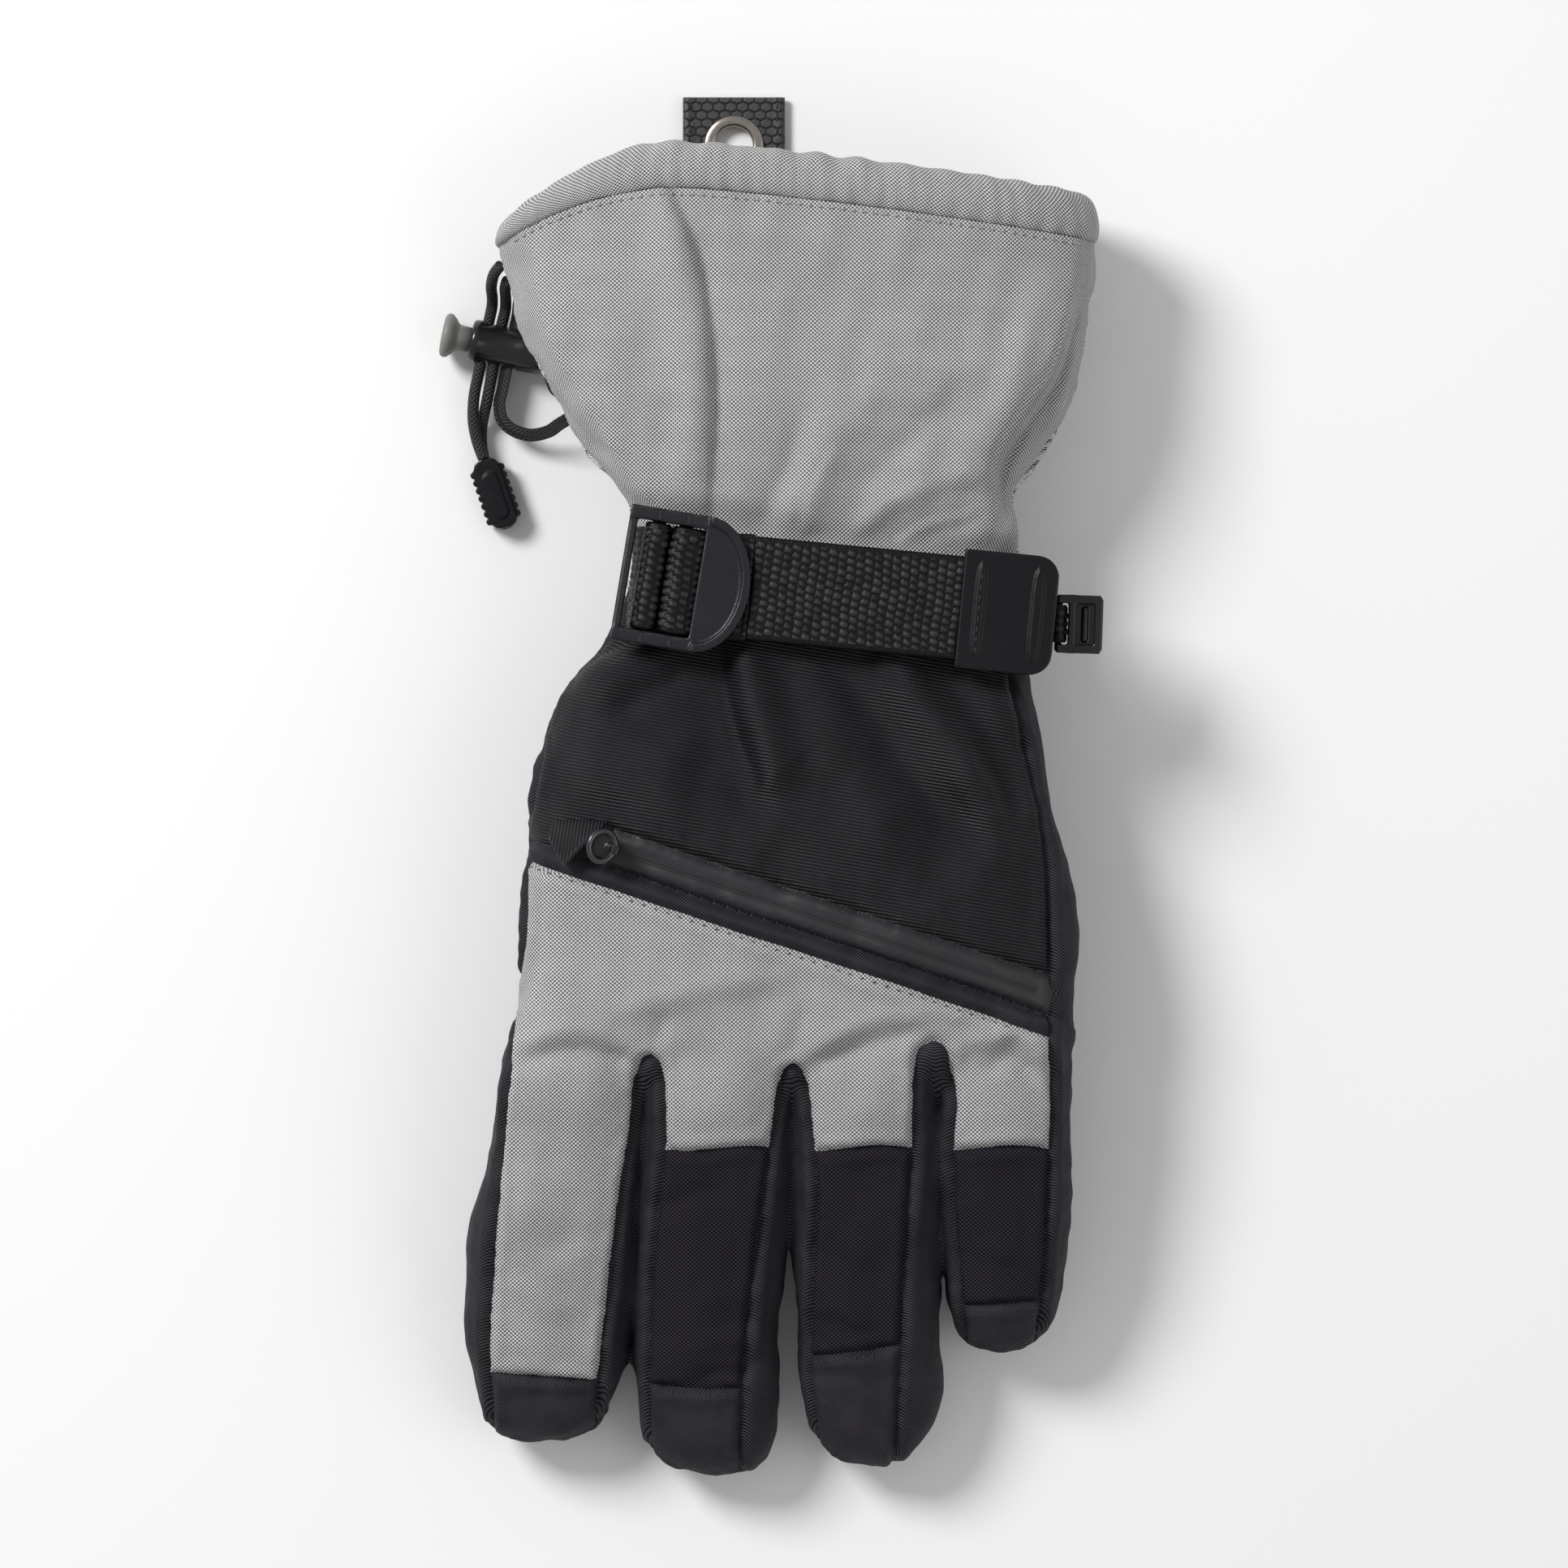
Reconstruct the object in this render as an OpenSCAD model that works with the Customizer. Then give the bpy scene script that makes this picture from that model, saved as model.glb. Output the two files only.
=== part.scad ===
// Insulated ski glove for the left hand, lying flat on its palm with the thumb folded under it.
// X runs from the index finger to the little finger, Y from the fingertips to the cuff, Z up.
// Every soft piece is a plain closed solid made from one table of flattened oval sections.

/* [Layers] */
// Thickness of the outer shell fabric
shell_t = 1.2; // [0.8:0.1:1.2]
// Thickness of the insulation
fill_t = 2; // [1.5:0.1:2.4]
// Thickness of the inner lining
lining_t = 0.8; // [0.5:0.1:1]

/* [Wrist strap] */
// Width of the wrist webbing
web_w = 25; // [20:1:25]
// Thickness of the wrist webbing
web_t = 1.6; // [1.2:0.1:1.6]
// Length of the strap tail between the buckle and its end tab
tail_len = 50; // [46:1:52]
// Tilt of the strap across the wrist, in degrees
strap_tilt = -5.5; // [-6:0.5:-5]

/* [Eyelet] */
// Radius of the hole in the eyelet
eyelet_r = 4.6; // [4:0.1:4.8]
// Outer radius of the eyelet's flange
eyelet_flange_r = 7.4; // [7:0.1:8]

/* [Drawcord] */
// Diameter of the elastic drawcord
cord_d = 2.8; // [2.4:0.1:2.8]

/* [Hidden] */

gap = 0.15;                  // air between two layers
pocket_room = 0.9;           // space behind the shell that the pocket bag and the elastic lie in
layer_fill = shell_t + pocket_room;
layer_lining = layer_fill + fill_t + gap;
layer_inside = layer_lining + lining_t;
squareness = 0.62;           // exponent of the flattened oval, where 1 is an ellipse
around = 24;                 // points round a closed section
cells = 12;                  // cells across a half shell
far = 300;                   // longer than the glove, for cutting solids

// A station is [y, centre x, half width, centre z, half height, share of the mouth's arch].
HAND = [
    [34, 7.9, 49.8, 31, 12.2, 0], [22, 3.1, 55.4, 31.4, 13, 0], [2, 0.9, 60.6, 32, 13.8, 0],
    [-17, 2.6, 64.4, 32, 14, 0], [-37, 3.2, 66.6, 32, 14, 0], [-56, 2.8, 67.2, 31.6, 13.6, 0],
    [-66, 0.8, 67.2, 31, 13, 0]];
GAUNTLET = [
    [34.4, 7.9, 49.8, 31, 12.2, 0], [48, 8.6, 49.6, 31.3, 12.6, 0], [58, 10.4, 48.2, 30.4, 13.6, 0],
    [66, 10, 47.8, 29.6, 15, 0], [76, 7, 52.8, 28.2, 17.2, 0], [90, 7.6, 61, 26.8, 19.8, 0],
    [106, 6.2, 67, 25.6, 21.4, 0.1], [118, 4.8, 69.8, 25.4, 21.8, 0.5], [130.5, 3.2, 72, 25.4, 22, 1]];
hem_low = [130.9, 3.2, 72, 25.4, 22, 1];
hem_high = [141.7, 3.2, 70.8, 25.4, 21.8, 1];
arch_h = 13;                 // rise of the cuff's mouth in the middle
arch_x = 3;
arch_half = 72;

// Each finger: stations from its root to its middle joint, then from there to its tip
knuckle_y = -66.4;
INDEX = [
    [[knuckle_y, -49.6, 16.2, 31, 12.8, 0], [-90, -53.4, 18.2, 26.4, 12.6, 0],
    [-114, -57, 18.9, 22, 12.2, 0]],
    [[-114.6, -57, 18.9, 22, 12.2, 0], [-130, -58, 18.9, 19, 11.8, 0], [-146, -57.9, 16.6, 16.6, 11.2, 0],
    [-154, -57.4, 13, 15.2, 9.4, 0], [-158, -57, 8, 14.6, 6, 0], [-159.2, -57, 2.4, 14.4, 2, 0]]];
MIDDLE = [
    [[knuckle_y, -15, 16.4, 31, 12.8, 0], [-90, -16.8, 16.6, 26.4, 12.6, 0],
    [-114, -18.6, 16.8, 22, 12.2, 0]],
    [[-114.6, -18.6, 16.8, 22, 12.2, 0], [-136, -18.6, 16.6, 18.4, 11.8, 0],
    [-155, -17.8, 15.6, 15.4, 11.2, 0], [-163, -17.6, 12.4, 14.2, 9.4, 0], [-167.2, -17.4, 7.6, 13.6, 6, 0],
    [-168.4, -17.4, 2.4, 13.4, 2, 0]]];
RING = [
    [[knuckle_y, 19.2, 16, 31, 12.8, 0], [-90, 19.2, 16.8, 26.4, 12.6, 0], [-114, 19.4, 17.4, 22, 12.2, 0]],
    [[-114.6, 19.4, 17.4, 22, 12.2, 0], [-134, 20.2, 17.2, 18.6, 11.8, 0],
    [-152, 20.8, 15.6, 15.8, 11.2, 0], [-160, 20.8, 12.4, 14.6, 9.4, 0], [-164.2, 20.8, 7.6, 14, 6, 0],
    [-165.4, 20.8, 2.4, 13.8, 2, 0]]];
LITTLE = [
    [[knuckle_y, 52.2, 14.8, 31, 12.6, 0], [-82, 53, 14.8, 27.6, 12.2, 0], [-96, 53.8, 14.9, 24.6, 11.8, 0]],
    [[-96.6, 53.8, 14.9, 24.6, 11.8, 0], [-110, 54.2, 14.9, 22, 11.4, 0], [-124, 54, 14, 19.4, 10.8, 0],
    [-132, 53.6, 11, 18, 9, 0], [-136.4, 53.4, 6.8, 17.4, 5.8, 0], [-137.8, 53.4, 2.4, 17.2, 2, 0]]];
FINGERS = [INDEX, MIDDLE, RING, LITTLE];
joint_gap = 0.6;             // between a finger's two halves at its middle joint
curl_relief = 30;            // slope of each of the two faces below the joint's pivot, in degrees

THUMB = [
    [44, -29, 17, 8.6, 5.2, 0], [38, -29.4, 22.4, 8.8, 6.8, 0], [25, -30.4, 26.4, 8.7, 8.2, 0],
    [0, -29.6, 29.6, 8.6, 8.6, 0], [-38, -26.6, 31.4, 8.6, 8.6, 0], [-58, -21, 27.2, 8, 8, 0],
    [-80, -15.4, 20.4, 6.6, 6.4, 0], [-92, -12.8, 14.6, 5.6, 5.2, 0], [-99, -12.4, 8.4, 5, 3.8, 0],
    [-101, -12.4, 2.4, 4.8, 2, 0]];

// ---- sections, sheets and lines ------------------------------------------------------------------
function spow(v) = sign(v) * pow(abs(v), squareness);
function arch(x) = arch_h * (1 - pow((x - arch_x) / arch_half, 2));
function rim(s, t, depth) =
    let (x = s[1] + (s[2] - depth) * spow(cos(t)))
    [x, s[0] + s[5] * arch(x), s[3] + (s[4] - depth) * spow(sin(t))];
function moved(s, dy) = [s[0] + dy, s[1], s[2], s[3], s[4], s[5]];
function between(a, b, y) = a + (b - a) * (y - a[0]) / (b[0] - a[0]);
// The station at y, and the stretch of a table from one y down or up to another
function at(table, y) = [for (i = [0:len(table) - 2])
    if ((table[i][0] - y) * (table[i + 1][0] - y) <= 0) between(table[i], table[i + 1], y)][0];
function stretch(table, from, to) = concat([at(table, from)],
    [for (s = table) if ((s[0] - from) * (s[0] - to) < 0) s], [at(table, to)]);
function first(list, n) = [for (i = [0:n - 1]) list[i]];

// A solid between flat ends, through the oval at each station
module loft(stations, depth = 0) {
    m = len(stations);
    points = [for (s = stations) for (i = [0:around - 1]) rim(s, i * 360 / around, depth)];
    sides = [for (j = [0:m - 2]) for (i = [0:around - 1])
        let (k = (i + 1) % around)
        each [[j * around + i, (j + 1) * around + k, j * around + k],
            [j * around + i, (j + 1) * around + i, (j + 1) * around + k]]];
    one_end = [for (i = [0:around - 1]) i];
    other_end = [for (i = [around - 1:-1:0]) (m - 1) * around + i];
    flip = stations[0][0] < stations[m - 1][0];
    faces = concat(sides, [one_end, other_end]);
    polyhedron(points, flip ? [for (f = faces) [for (i = [len(f) - 1:-1:0]) f[i]]] : faces, convexity = 4);
}

// A thick sheet from two grids of points: outer[i][j] runs round and then along
module sheet(outer, inner, closed, flip) {
    n = len(outer);
    m = len(outer[0]);
    w = n * m;
    runs = closed ? n - 1 : n - 2;
    skins = [for (i = [0:runs]) for (j = [0:m - 2])
        let (a = i * m + j, b = ((i + 1) % n) * m + j)
        each [[a, b + 1, b], [a, a + 1, b + 1], [w + a, w + b, w + b + 1], [w + a, w + b + 1, w + a + 1]]];
    ends = [for (i = [0:runs])
        let (a = i * m, b = ((i + 1) % n) * m, c = a + m - 1, d = b + m - 1)
        each [[a, b, w + b], [a, w + b, w + a], [d, c, w + c], [d, w + c, w + d]]];
    flanks = closed ? [] : [for (j = [0:m - 2])
        let (a = j, b = (n - 1) * m + j)
        each [[a, w + a + 1, a + 1], [a, w + a, w + a + 1], [b, b + 1, w + b + 1], [b, w + b + 1, w + b]]];
    faces = concat(skins, ends, flanks);
    polyhedron(concat([for (r = outer) each r], [for (r = inner) each r]),
        flip ? [for (f = faces) [f[2], f[1], f[0]]] : faces, convexity = 6);
}

// The part of a tube's wall between two angles round it, or its whole wall
module wall(stations, from, to, depth, thick) {
    closed = to - from >= 360;
    count = closed ? 2 * cells : cells;
    function grid(d) = [for (i = [0:closed ? count - 1 : count])
        [for (s = stations) rim(s, from + (to - from) * i / count, d)]];
    sheet(grid(depth), grid(depth + thick), closed, stations[0][0] < stations[len(stations) - 1][0]);
}

// A smooth curve through points
function curve(p, steps) = [
    for (i = [0:len(p) - 2]) for (k = [0:steps - 1])
        let (a = p[max(i - 1, 0)], b = p[i], c = p[i + 1], d = p[min(i + 2, len(p) - 1)], t = k / steps)
        0.5 * ((2 * b) + (c - a) * t + (2 * a - 5 * b + 4 * c - d) * t * t
            + (3 * b - a - 3 * c + d) * t * t * t),
    p[len(p) - 1]];
function unit(v) = v / norm(v);

// A bar swept along a path, with its outline given as offsets to the side and up
module sweep(path, outline) {
    n = len(path);
    m = len(outline);
    function heading(i) = unit(path[min(i + 1, n - 1)] - path[max(i - 1, 0)]);
    function side(i) = unit(cross(heading(i), [0.1, 0.2, 1]));
    points = [for (i = [0:n - 1]) for (o = outline)
        let (s = side(i), u = cross(s, heading(i)))
        path[i] + o[0] * s + o[1] * u];
    faces = [for (i = [0:n - 2]) for (k = [0:m - 1])
        let (l = (k + 1) % m)
        each [[i * m + k, i * m + l, (i + 1) * m + l], [i * m + k, (i + 1) * m + l, (i + 1) * m + k]]];
    polyhedron(points, concat(faces, [[for (k = [m - 1:-1:0]) k]],
        [[for (k = [0:m - 1]) (n - 1) * m + k]]), convexity = 8);
}
module tube(path, d, sides = 8)
    sweep(path, [for (k = [0:sides - 1]) d / 2 * [cos(k * 360 / sides), sin(k * 360 / sides)]]);

// A band of constant thickness along a flat path, as a 2D outline
module ribbon(path, t) {
    n = len(path);
    function normal(i) =
        let (v = unit(path[min(i + 1, n - 1)] - path[max(i - 1, 0)])) [-v[1], v[0]];
    polygon(concat([for (i = [0:n - 1]) path[i] + normal(i) * t / 2],
        [for (i = [n - 1:-1:0]) path[i] - normal(i) * t / 2]));
}
module rounded(w, h, r) {
    square([w, h - 2 * r], center = true);
    square([w - 2 * r, h], center = true);
    for (x = [-1, 1], y = [-1, 1]) translate([x * (w / 2 - r), y * (h / 2 - r)]) circle(r, $fn = 32);
}
// Draws a side view, given in x and z, as a solid of this width across y
module across(width) translate([0, width / 2, 0]) rotate([90, 0, 0]) linear_extrude(width) children();

// ---- hand ----------------------------------------------------------------------------------------
zip_start = [-41, -15.6];    // left end of the zip's centre line, where the slider parks
zip_end = [62, -50];
zip_angle = atan2(zip_end[1] - zip_start[1], zip_end[0] - zip_start[0]);
zip_len = norm(zip_end - zip_start);
zip_z = 46.7;                // top of the zip's tape, that the slider runs over
tape_w = 9;
tape_t = 0.5;
coil_t = 0.5;
tooth = 2.2;
tooth_pitch = 3;
seam_drop = 9.4;             // from the zip's centre line to the knuckle panel's upper seam
module along_zip() translate([zip_start[0], zip_start[1], 0]) rotate(zip_angle) children();
// The half space on the cuff's side of the knuckle panel's upper seam
module above_seam(shift) along_zip() translate([-far / 2, -seam_drop + shift, -10])
    cube([far, far, far / 3]);

module back_panel() color([0.1, 0.1, 0.11]) intersection() {
    wall(HAND, 0, 180, 0, shell_t);
    above_seam(gap);
}
module knuckle_panel() color([0.6, 0.61, 0.62]) difference() {
    wall(HAND, 0, 180, 0, shell_t);
    above_seam(0);
}
module palm_panel() color([0.12, 0.12, 0.13]) wall(HAND, 180.6, 359.4, 0, shell_t);
module pocket_bag() color([0.25, 0.25, 0.26])
    wall(stretch(HAND, 10, -40), 40, 140, shell_t + gap, pocket_room - 2 * gap);

tape_line = [[-2, zip_z - 0.4], [6, zip_z - tape_t / 2], [zip_len - 16, zip_z - tape_t / 2],
    [zip_len - 5, zip_z - 1.4], [zip_len, zip_z - 2.8]];
module zip_tape() color([0.16, 0.16, 0.17]) along_zip() across(tape_w) ribbon(tape_line, tape_t);
module zip_coil() color([0.08, 0.08, 0.08]) along_zip()
    for (x = [tooth_pitch:tooth_pitch:zip_len - 18]) translate([x, 0, zip_z + coil_t / 2])
        cube([2, tooth, coil_t], center = true);
garage_top = 49.4;
garage_l = 11;
garage_end = -4.6;           // its open end, beside the parked slider
module zip_garage() color([0.1, 0.1, 0.11]) along_zip() difference() {
    across(15) polygon([[garage_end, 45.1], [garage_end - garage_l, 42.9],
        [garage_end - garage_l, garage_top - 2.4], [garage_end, garage_top]]);
    across(11) polygon([[garage_end + 1, zip_z], [garage_end - 7, zip_z - 0.6],
        [garage_end - 7, garage_top - 2.2], [garage_end + 1, garage_top - 0.6]]);
}

slider_l = 8;
slider_w = 7;
slider_low = zip_z + coil_t + 0.15;
slider_top = slider_low + 2.2;
ring_r = 3.8;
ring_wire = 0.55;
ring_z = slider_top + 0.9;
ring_x = 0.6;                // pivot of the ring, along the zip
ring_tilt = 22;              // how far the ring leans up at rest, in degrees
module zip_slider() color([0.1, 0.1, 0.1]) along_zip() {
    translate([0, 0, slider_low]) linear_extrude(slider_top - slider_low) difference() {
        rounded(slider_l, slider_w, 2);
        translate([-4, 0]) circle(1, $fn = 32);
    }
    translate([ring_x, 0, 0]) difference() {
        translate([-1, -1.1, slider_top - 0.2]) cube([2, 2.2, 2.4]);
        translate([0, 2, ring_z]) rotate([90, 0, 0]) cylinder(4, r = 0.8, $fn = 32);
    }
}
module zip_ring() color([0.3, 0.3, 0.31]) along_zip() translate([ring_x, 0, ring_z])
    rotate([0, ring_tilt, 0]) translate([-ring_r, 0, 0]) rotate_extrude($fn = 64)
        translate([ring_r, 0]) circle(ring_wire, $fn = 32);

// The space that a finger's tip swings through, a notch below the pivot of its middle joint
module curl_notch(finger) {
    s = finger[0][2];
    lean = far / 10 * tan(curl_relief);
    translate([s[1] - far / 10, s[0] - joint_gap / 2, s[3]]) rotate([90, 0, 90])
        linear_extrude(far / 5) polygon([[0, 0], [-lean, -far / 10], [lean, -far / 10]]);
}
// A finger's core from inside the hand, reach past its root, to its middle joint, over past it
module finger_core(finger, reach, over, depth)
    loft([moved(finger[0][0], reach), finger[0][0], finger[0][1], moved(finger[0][2], -over)], depth);
module insulation() color([0.85, 0.85, 0.8]) difference() {
    union() {
        loft(concat(first(HAND, 6), [moved(HAND[6], -0.3)]), layer_fill);
        for (f = FINGERS) finger_core(f, 0.35, 0, layer_fill);
    }
    loft(concat([moved(HAND[0], 1)], stretch(HAND, 34, -60)), layer_fill + fill_t);
    for (f = FINGERS) finger_core(f, 9, 1, layer_fill + fill_t);
    for (f = FINGERS) curl_notch(f);
}
module lining() color([0.35, 0.35, 0.36]) difference() {
    union() {
        loft(stretch(HAND, 34, -59.7), layer_lining);
        for (f = FINGERS) finger_core(f, 6.9, 0, layer_lining);
    }
    loft(concat([moved(HAND[0], 1)], stretch(HAND, 34, -58.9)), layer_inside);
    for (f = FINGERS) finger_core(f, 8.4, 1, layer_inside);
    for (f = FINGERS) curl_notch(f);
}

grey_cloth = [0.6, 0.61, 0.62];
black_cloth = [0.1, 0.1, 0.11];

// ---- fingers and thumb ---------------------------------------------------------------------------
module root_back(i, tone) color(tone) wall(FINGERS[i][0], 0, 180, 0, shell_t);
module root_palm(i) color([0.12, 0.12, 0.13]) difference() {
    wall(FINGERS[i][0], 180.6, 359.4, 0, shell_t);
    curl_notch(FINGERS[i]);
}
module tip_back(i, tone) color(tone) wall(FINGERS[i][1], 0, 180, 0, shell_t);
module tip_pad(i) color([0.14, 0.14, 0.15]) difference() {
    wall(FINGERS[i][1], 180.6, 359.4, 0, shell_t);
    curl_notch(FINGERS[i]);
}
module tip_liner(i) color([0.6, 0.6, 0.58]) difference() {
    tip = FINGERS[i][1];
    loft(first(tip, 4), layer_fill);
    loft(concat([moved(tip[0], 1)], first(tip, 3)), layer_inside);
    curl_notch(FINGERS[i]);
}
module index_root_back() root_back(0, grey_cloth);
module index_root_palm() root_palm(0);
module index_tip_back() tip_back(0, grey_cloth);
module index_tip_pad() tip_pad(0);
module index_tip_liner() tip_liner(0);
module middle_root_back() root_back(1, black_cloth);
module middle_root_palm() root_palm(1);
module middle_tip_back() tip_back(1, black_cloth);
module middle_tip_pad() tip_pad(1);
module middle_tip_liner() tip_liner(1);
module ring_root_back() root_back(2, black_cloth);
module ring_root_palm() root_palm(2);
module ring_tip_back() tip_back(2, black_cloth);
module ring_tip_pad() tip_pad(2);
module ring_tip_liner() tip_liner(2);
module little_root_back() root_back(3, black_cloth);
module little_root_palm() root_palm(3);
module little_tip_back() tip_back(3, black_cloth);
module little_tip_pad() tip_pad(3);
module little_tip_liner() tip_liner(3);

thumb_fill = shell_t + gap;
module thumb_shell() color([0.05, 0.05, 0.06]) wall(THUMB, 0, 360, 0, shell_t);
module thumb_liner() color([0.6, 0.6, 0.58]) difference() {
    loft(stretch(THUMB, 38, -92), thumb_fill);
    loft([for (s = stretch(THUMB, 38, -80)) s[0] > 37 ? moved(s, 1) : s], thumb_fill + 1.4);
}

// ---- gauntlet ------------------------------------------------------------------------------------
elastic_t = pocket_room - 2 * gap;
module gauntlet_back() color([0.6, 0.61, 0.62]) wall(GAUNTLET, 0, 180, 0, shell_t);
module gauntlet_palm() color([0.6, 0.61, 0.62]) wall(GAUNTLET, 180.6, 359.4, 0, shell_t);
module gauntlet_lining() color([0.35, 0.35, 0.36]) wall(GAUNTLET, 0, 360, layer_fill, 1);
module wrist_elastic() color([0.8, 0.8, 0.8])
    wall(stretch(GAUNTLET, 36, 46), 200, 340, shell_t + gap, elastic_t);
channel = cord_d + 0.6;      // room for the drawcord inside the hem
hem_t = 1;
// A solid ring round the cuff's mouth, whose outline is given as depth and distance along the cuff
module around_mouth(outline) {
    n = len(outline);
    points = [for (i = [0:around - 1]) for (p = outline)
        rim(between(hem_low, hem_high, hem_low[0] + p[1]), i * 360 / around, p[0])];
    faces = [for (i = [0:around - 1]) for (k = [0:n - 1])
        let (j = (i + 1) % around, l = (k + 1) % n)
        each [[i * n + k, i * n + l, j * n + l], [i * n + k, j * n + l, j * n + k]]];
    polyhedron(points, faces, convexity = 6);
}
hem_inner = shell_t + channel;
hem_l = hem_high[0] - hem_low[0];
module cuff_hem() color([0.62, 0.63, 0.64]) around_mouth([
    [0, 0], [0, hem_l], [hem_inner + hem_t, hem_l], [hem_inner + hem_t, 0],
    [hem_inner, 0], [hem_inner, hem_l - hem_t], [shell_t, hem_l - hem_t], [shell_t, 0]]);
loop_depth = shell_t + channel / 2;
module hem_drawcord() color([0.05, 0.05, 0.05])
    tube([for (i = [1:around - 1]) rim(moved(hem_low, hem_l / 2), 180 + i * 360 / around, loop_depth)],
        cord_d - 0.2);

strap_x = -12.3;             // centre of the pull strap, under the gauntlet
pull_w = 25;
pull_t = 1.8;
pull_end = 168.4;
eyelet_y = pull_end - 11.8;
pull_line = [[41, 16.3], [48, 16.2], [58, 14.4], [66, 12.2], [76, 8.6], [90, 5], [106, 2.2], [118, 1.6],
    [128, 1.5], [pull_end, 1.5]];
module pull_strap() color([0.08, 0.08, 0.09]) difference() {
    translate([strap_x - pull_w / 2, 0, 0]) rotate([90, 0, 90]) linear_extrude(pull_w)
        ribbon(pull_line, pull_t);
    translate([strap_x, eyelet_y, -5]) cylinder(12, r = eyelet_r + 0.7, $fn = 64);
}
flange_t = 0.5;
module eyelet() color([0.55, 0.52, 0.48]) translate([strap_x, eyelet_y, 0]) difference() {
    union() {
        cylinder(flange_t, r = eyelet_flange_r, $fn = 96);
        cylinder(pull_t + 2 * flange_t + 0.2, r = eyelet_r + 0.6, $fn = 96);
        translate([0, 0, pull_t + flange_t + 0.2]) cylinder(flange_t, r = eyelet_flange_r, $fn = 96);
    }
    translate([0, 0, -1]) cylinder(6, r = eyelet_r, $fn = 96);
}

// ---- wrist strap ---------------------------------------------------------------------------------
strap_at = [-39.2, 49.9];    // middle of the buckle's left bar
buckle_turn = -3;            // how far the buckle is turned on the strap, in degrees
web_low = 44.7;              // underside of the lower webbing
web_high = 47.5;             // underside of the strap's tail
bar_r = 1.5;
wrap_in = bar_r + 0.2;
wrap_out = wrap_in + web_t;
bar_z = web_low + wrap_out;
anchor_x = 7.2;
bar_x = 13.8;
rail_w = 3.9;
buckle_h = web_w + 0.6 + 2 * rail_w;
buckle_low = bar_z - 1.9;
buckle_top = bar_z + 3.6;
tab_x = 19.4;
tab_reach = 11.4;
tail_x = 31.6;               // left end of the strap's tail, clear of the buckle's tab
module on_strap() translate([strap_at[0], strap_at[1], 0]) rotate(strap_tilt) children();
module on_buckle() on_strap() rotate(buckle_turn) children();

module strap_lower() color([0.09, 0.09, 0.09]) on_strap() across(web_w)
    ribbon(curve([[tail_x, web_low + web_t / 2], [66, web_low + web_t / 2], [78, 44.9], [86, 43.6],
        [93, 41.8], [98.4, 37.4], [101.2, 31]], 3), web_t);
module anchor_web() color([0.09, 0.09, 0.09]) on_buckle() across(web_w) {
    translate([anchor_x, bar_z]) difference() {
        circle(wrap_in + 1.3, $fn = 48);
        circle(wrap_in, $fn = 48);
    }
    ribbon([[7.4, 45.6], [6.6, 44], [5.2, 42.2], [2.4, 41], [-1.6, 39.2], [-4.6, 35]], 1);
}
module ladder_buckle() color([0.1, 0.1, 0.11]) on_buckle() {
    for (s = [-1, 1]) translate([0, s * (buckle_h - rail_w) / 2, 0]) across(rail_w)
        polygon([[0, buckle_low], [14, buckle_low], [tab_x + 3, buckle_top - 2.2], [tab_x + 3, buckle_top],
            [0.6, buckle_top - 1], [0, buckle_top - 1.6]]);
    across(buckle_h)
        polygon([[0, buckle_low], [1.8, buckle_low], [1.8, buckle_top - 1.4], [0, buckle_top - 1.6]]);
    for (x = [anchor_x, bar_x]) translate([x, buckle_h / 2 - 1, bar_z]) rotate([90, 0, 0])
        cylinder(buckle_h - 2, r = bar_r, $fn = 48);
    translate([tab_x, 0, buckle_top - 2.2]) linear_extrude(2.2) intersection() {
        translate([-4.8, 0]) circle(buckle_h / 2 - 0.2, $fn = 96);
        translate([0, -buckle_h / 2]) square([tab_reach, buckle_h]);
    }
}
wrap_end = tail_x - 1.2;     // end of the webbing that turns back through the buckle
module strap_wrap() color([0.09, 0.09, 0.09]) on_buckle() across(web_w) {
    difference() {
        translate([bar_x, bar_z]) circle(wrap_out, $fn = 64);
        translate([bar_x, bar_z]) circle(wrap_in, $fn = 64);
        translate([bar_x, bar_z - 10]) square([20, 20]);
    }
    translate([bar_x, web_low]) square([wrap_end - bar_x, web_t]);
    polygon([[bar_x, bar_z + wrap_out], [bar_x, bar_z + wrap_in], [tab_x - 1.6, web_high],
        [wrap_end, web_high], [wrap_end, web_high + web_t], [tab_x - 0.8, web_high + web_t]]);
}
tail_end = tail_x + tail_len;
module strap_tail() color([0.09, 0.09, 0.09]) on_strap()
    translate([tail_x, -web_w / 2, web_high]) cube([tail_len + 6, web_w, web_t]);
end_l = 23;
end_h = 28.6;
end_t = 4.2;
module strap_end_tab() color([0.1, 0.1, 0.11]) on_strap()
    translate([tail_end, 0, web_high + web_t / 2 - end_t / 2]) difference() {
        union() {
            linear_extrude(end_t) intersection() {
                translate([end_l / 2 - 6, 0]) rounded(end_l + 12, end_h, 5.4);
                translate([0, -end_h / 2]) square([end_l, end_h]);
            }
            for (x = [4.6, end_l - 4.6]) translate([x, 0, end_t - 0.2]) linear_extrude(0.6)
                rounded(2.4, end_h - 6, 1.1);
        }
        translate([-1, -web_w / 2 - 0.15, end_t / 2 - web_t / 2 - 0.1])
            cube([7.2, web_w + 0.3, web_t + 0.2]);
    }

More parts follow.
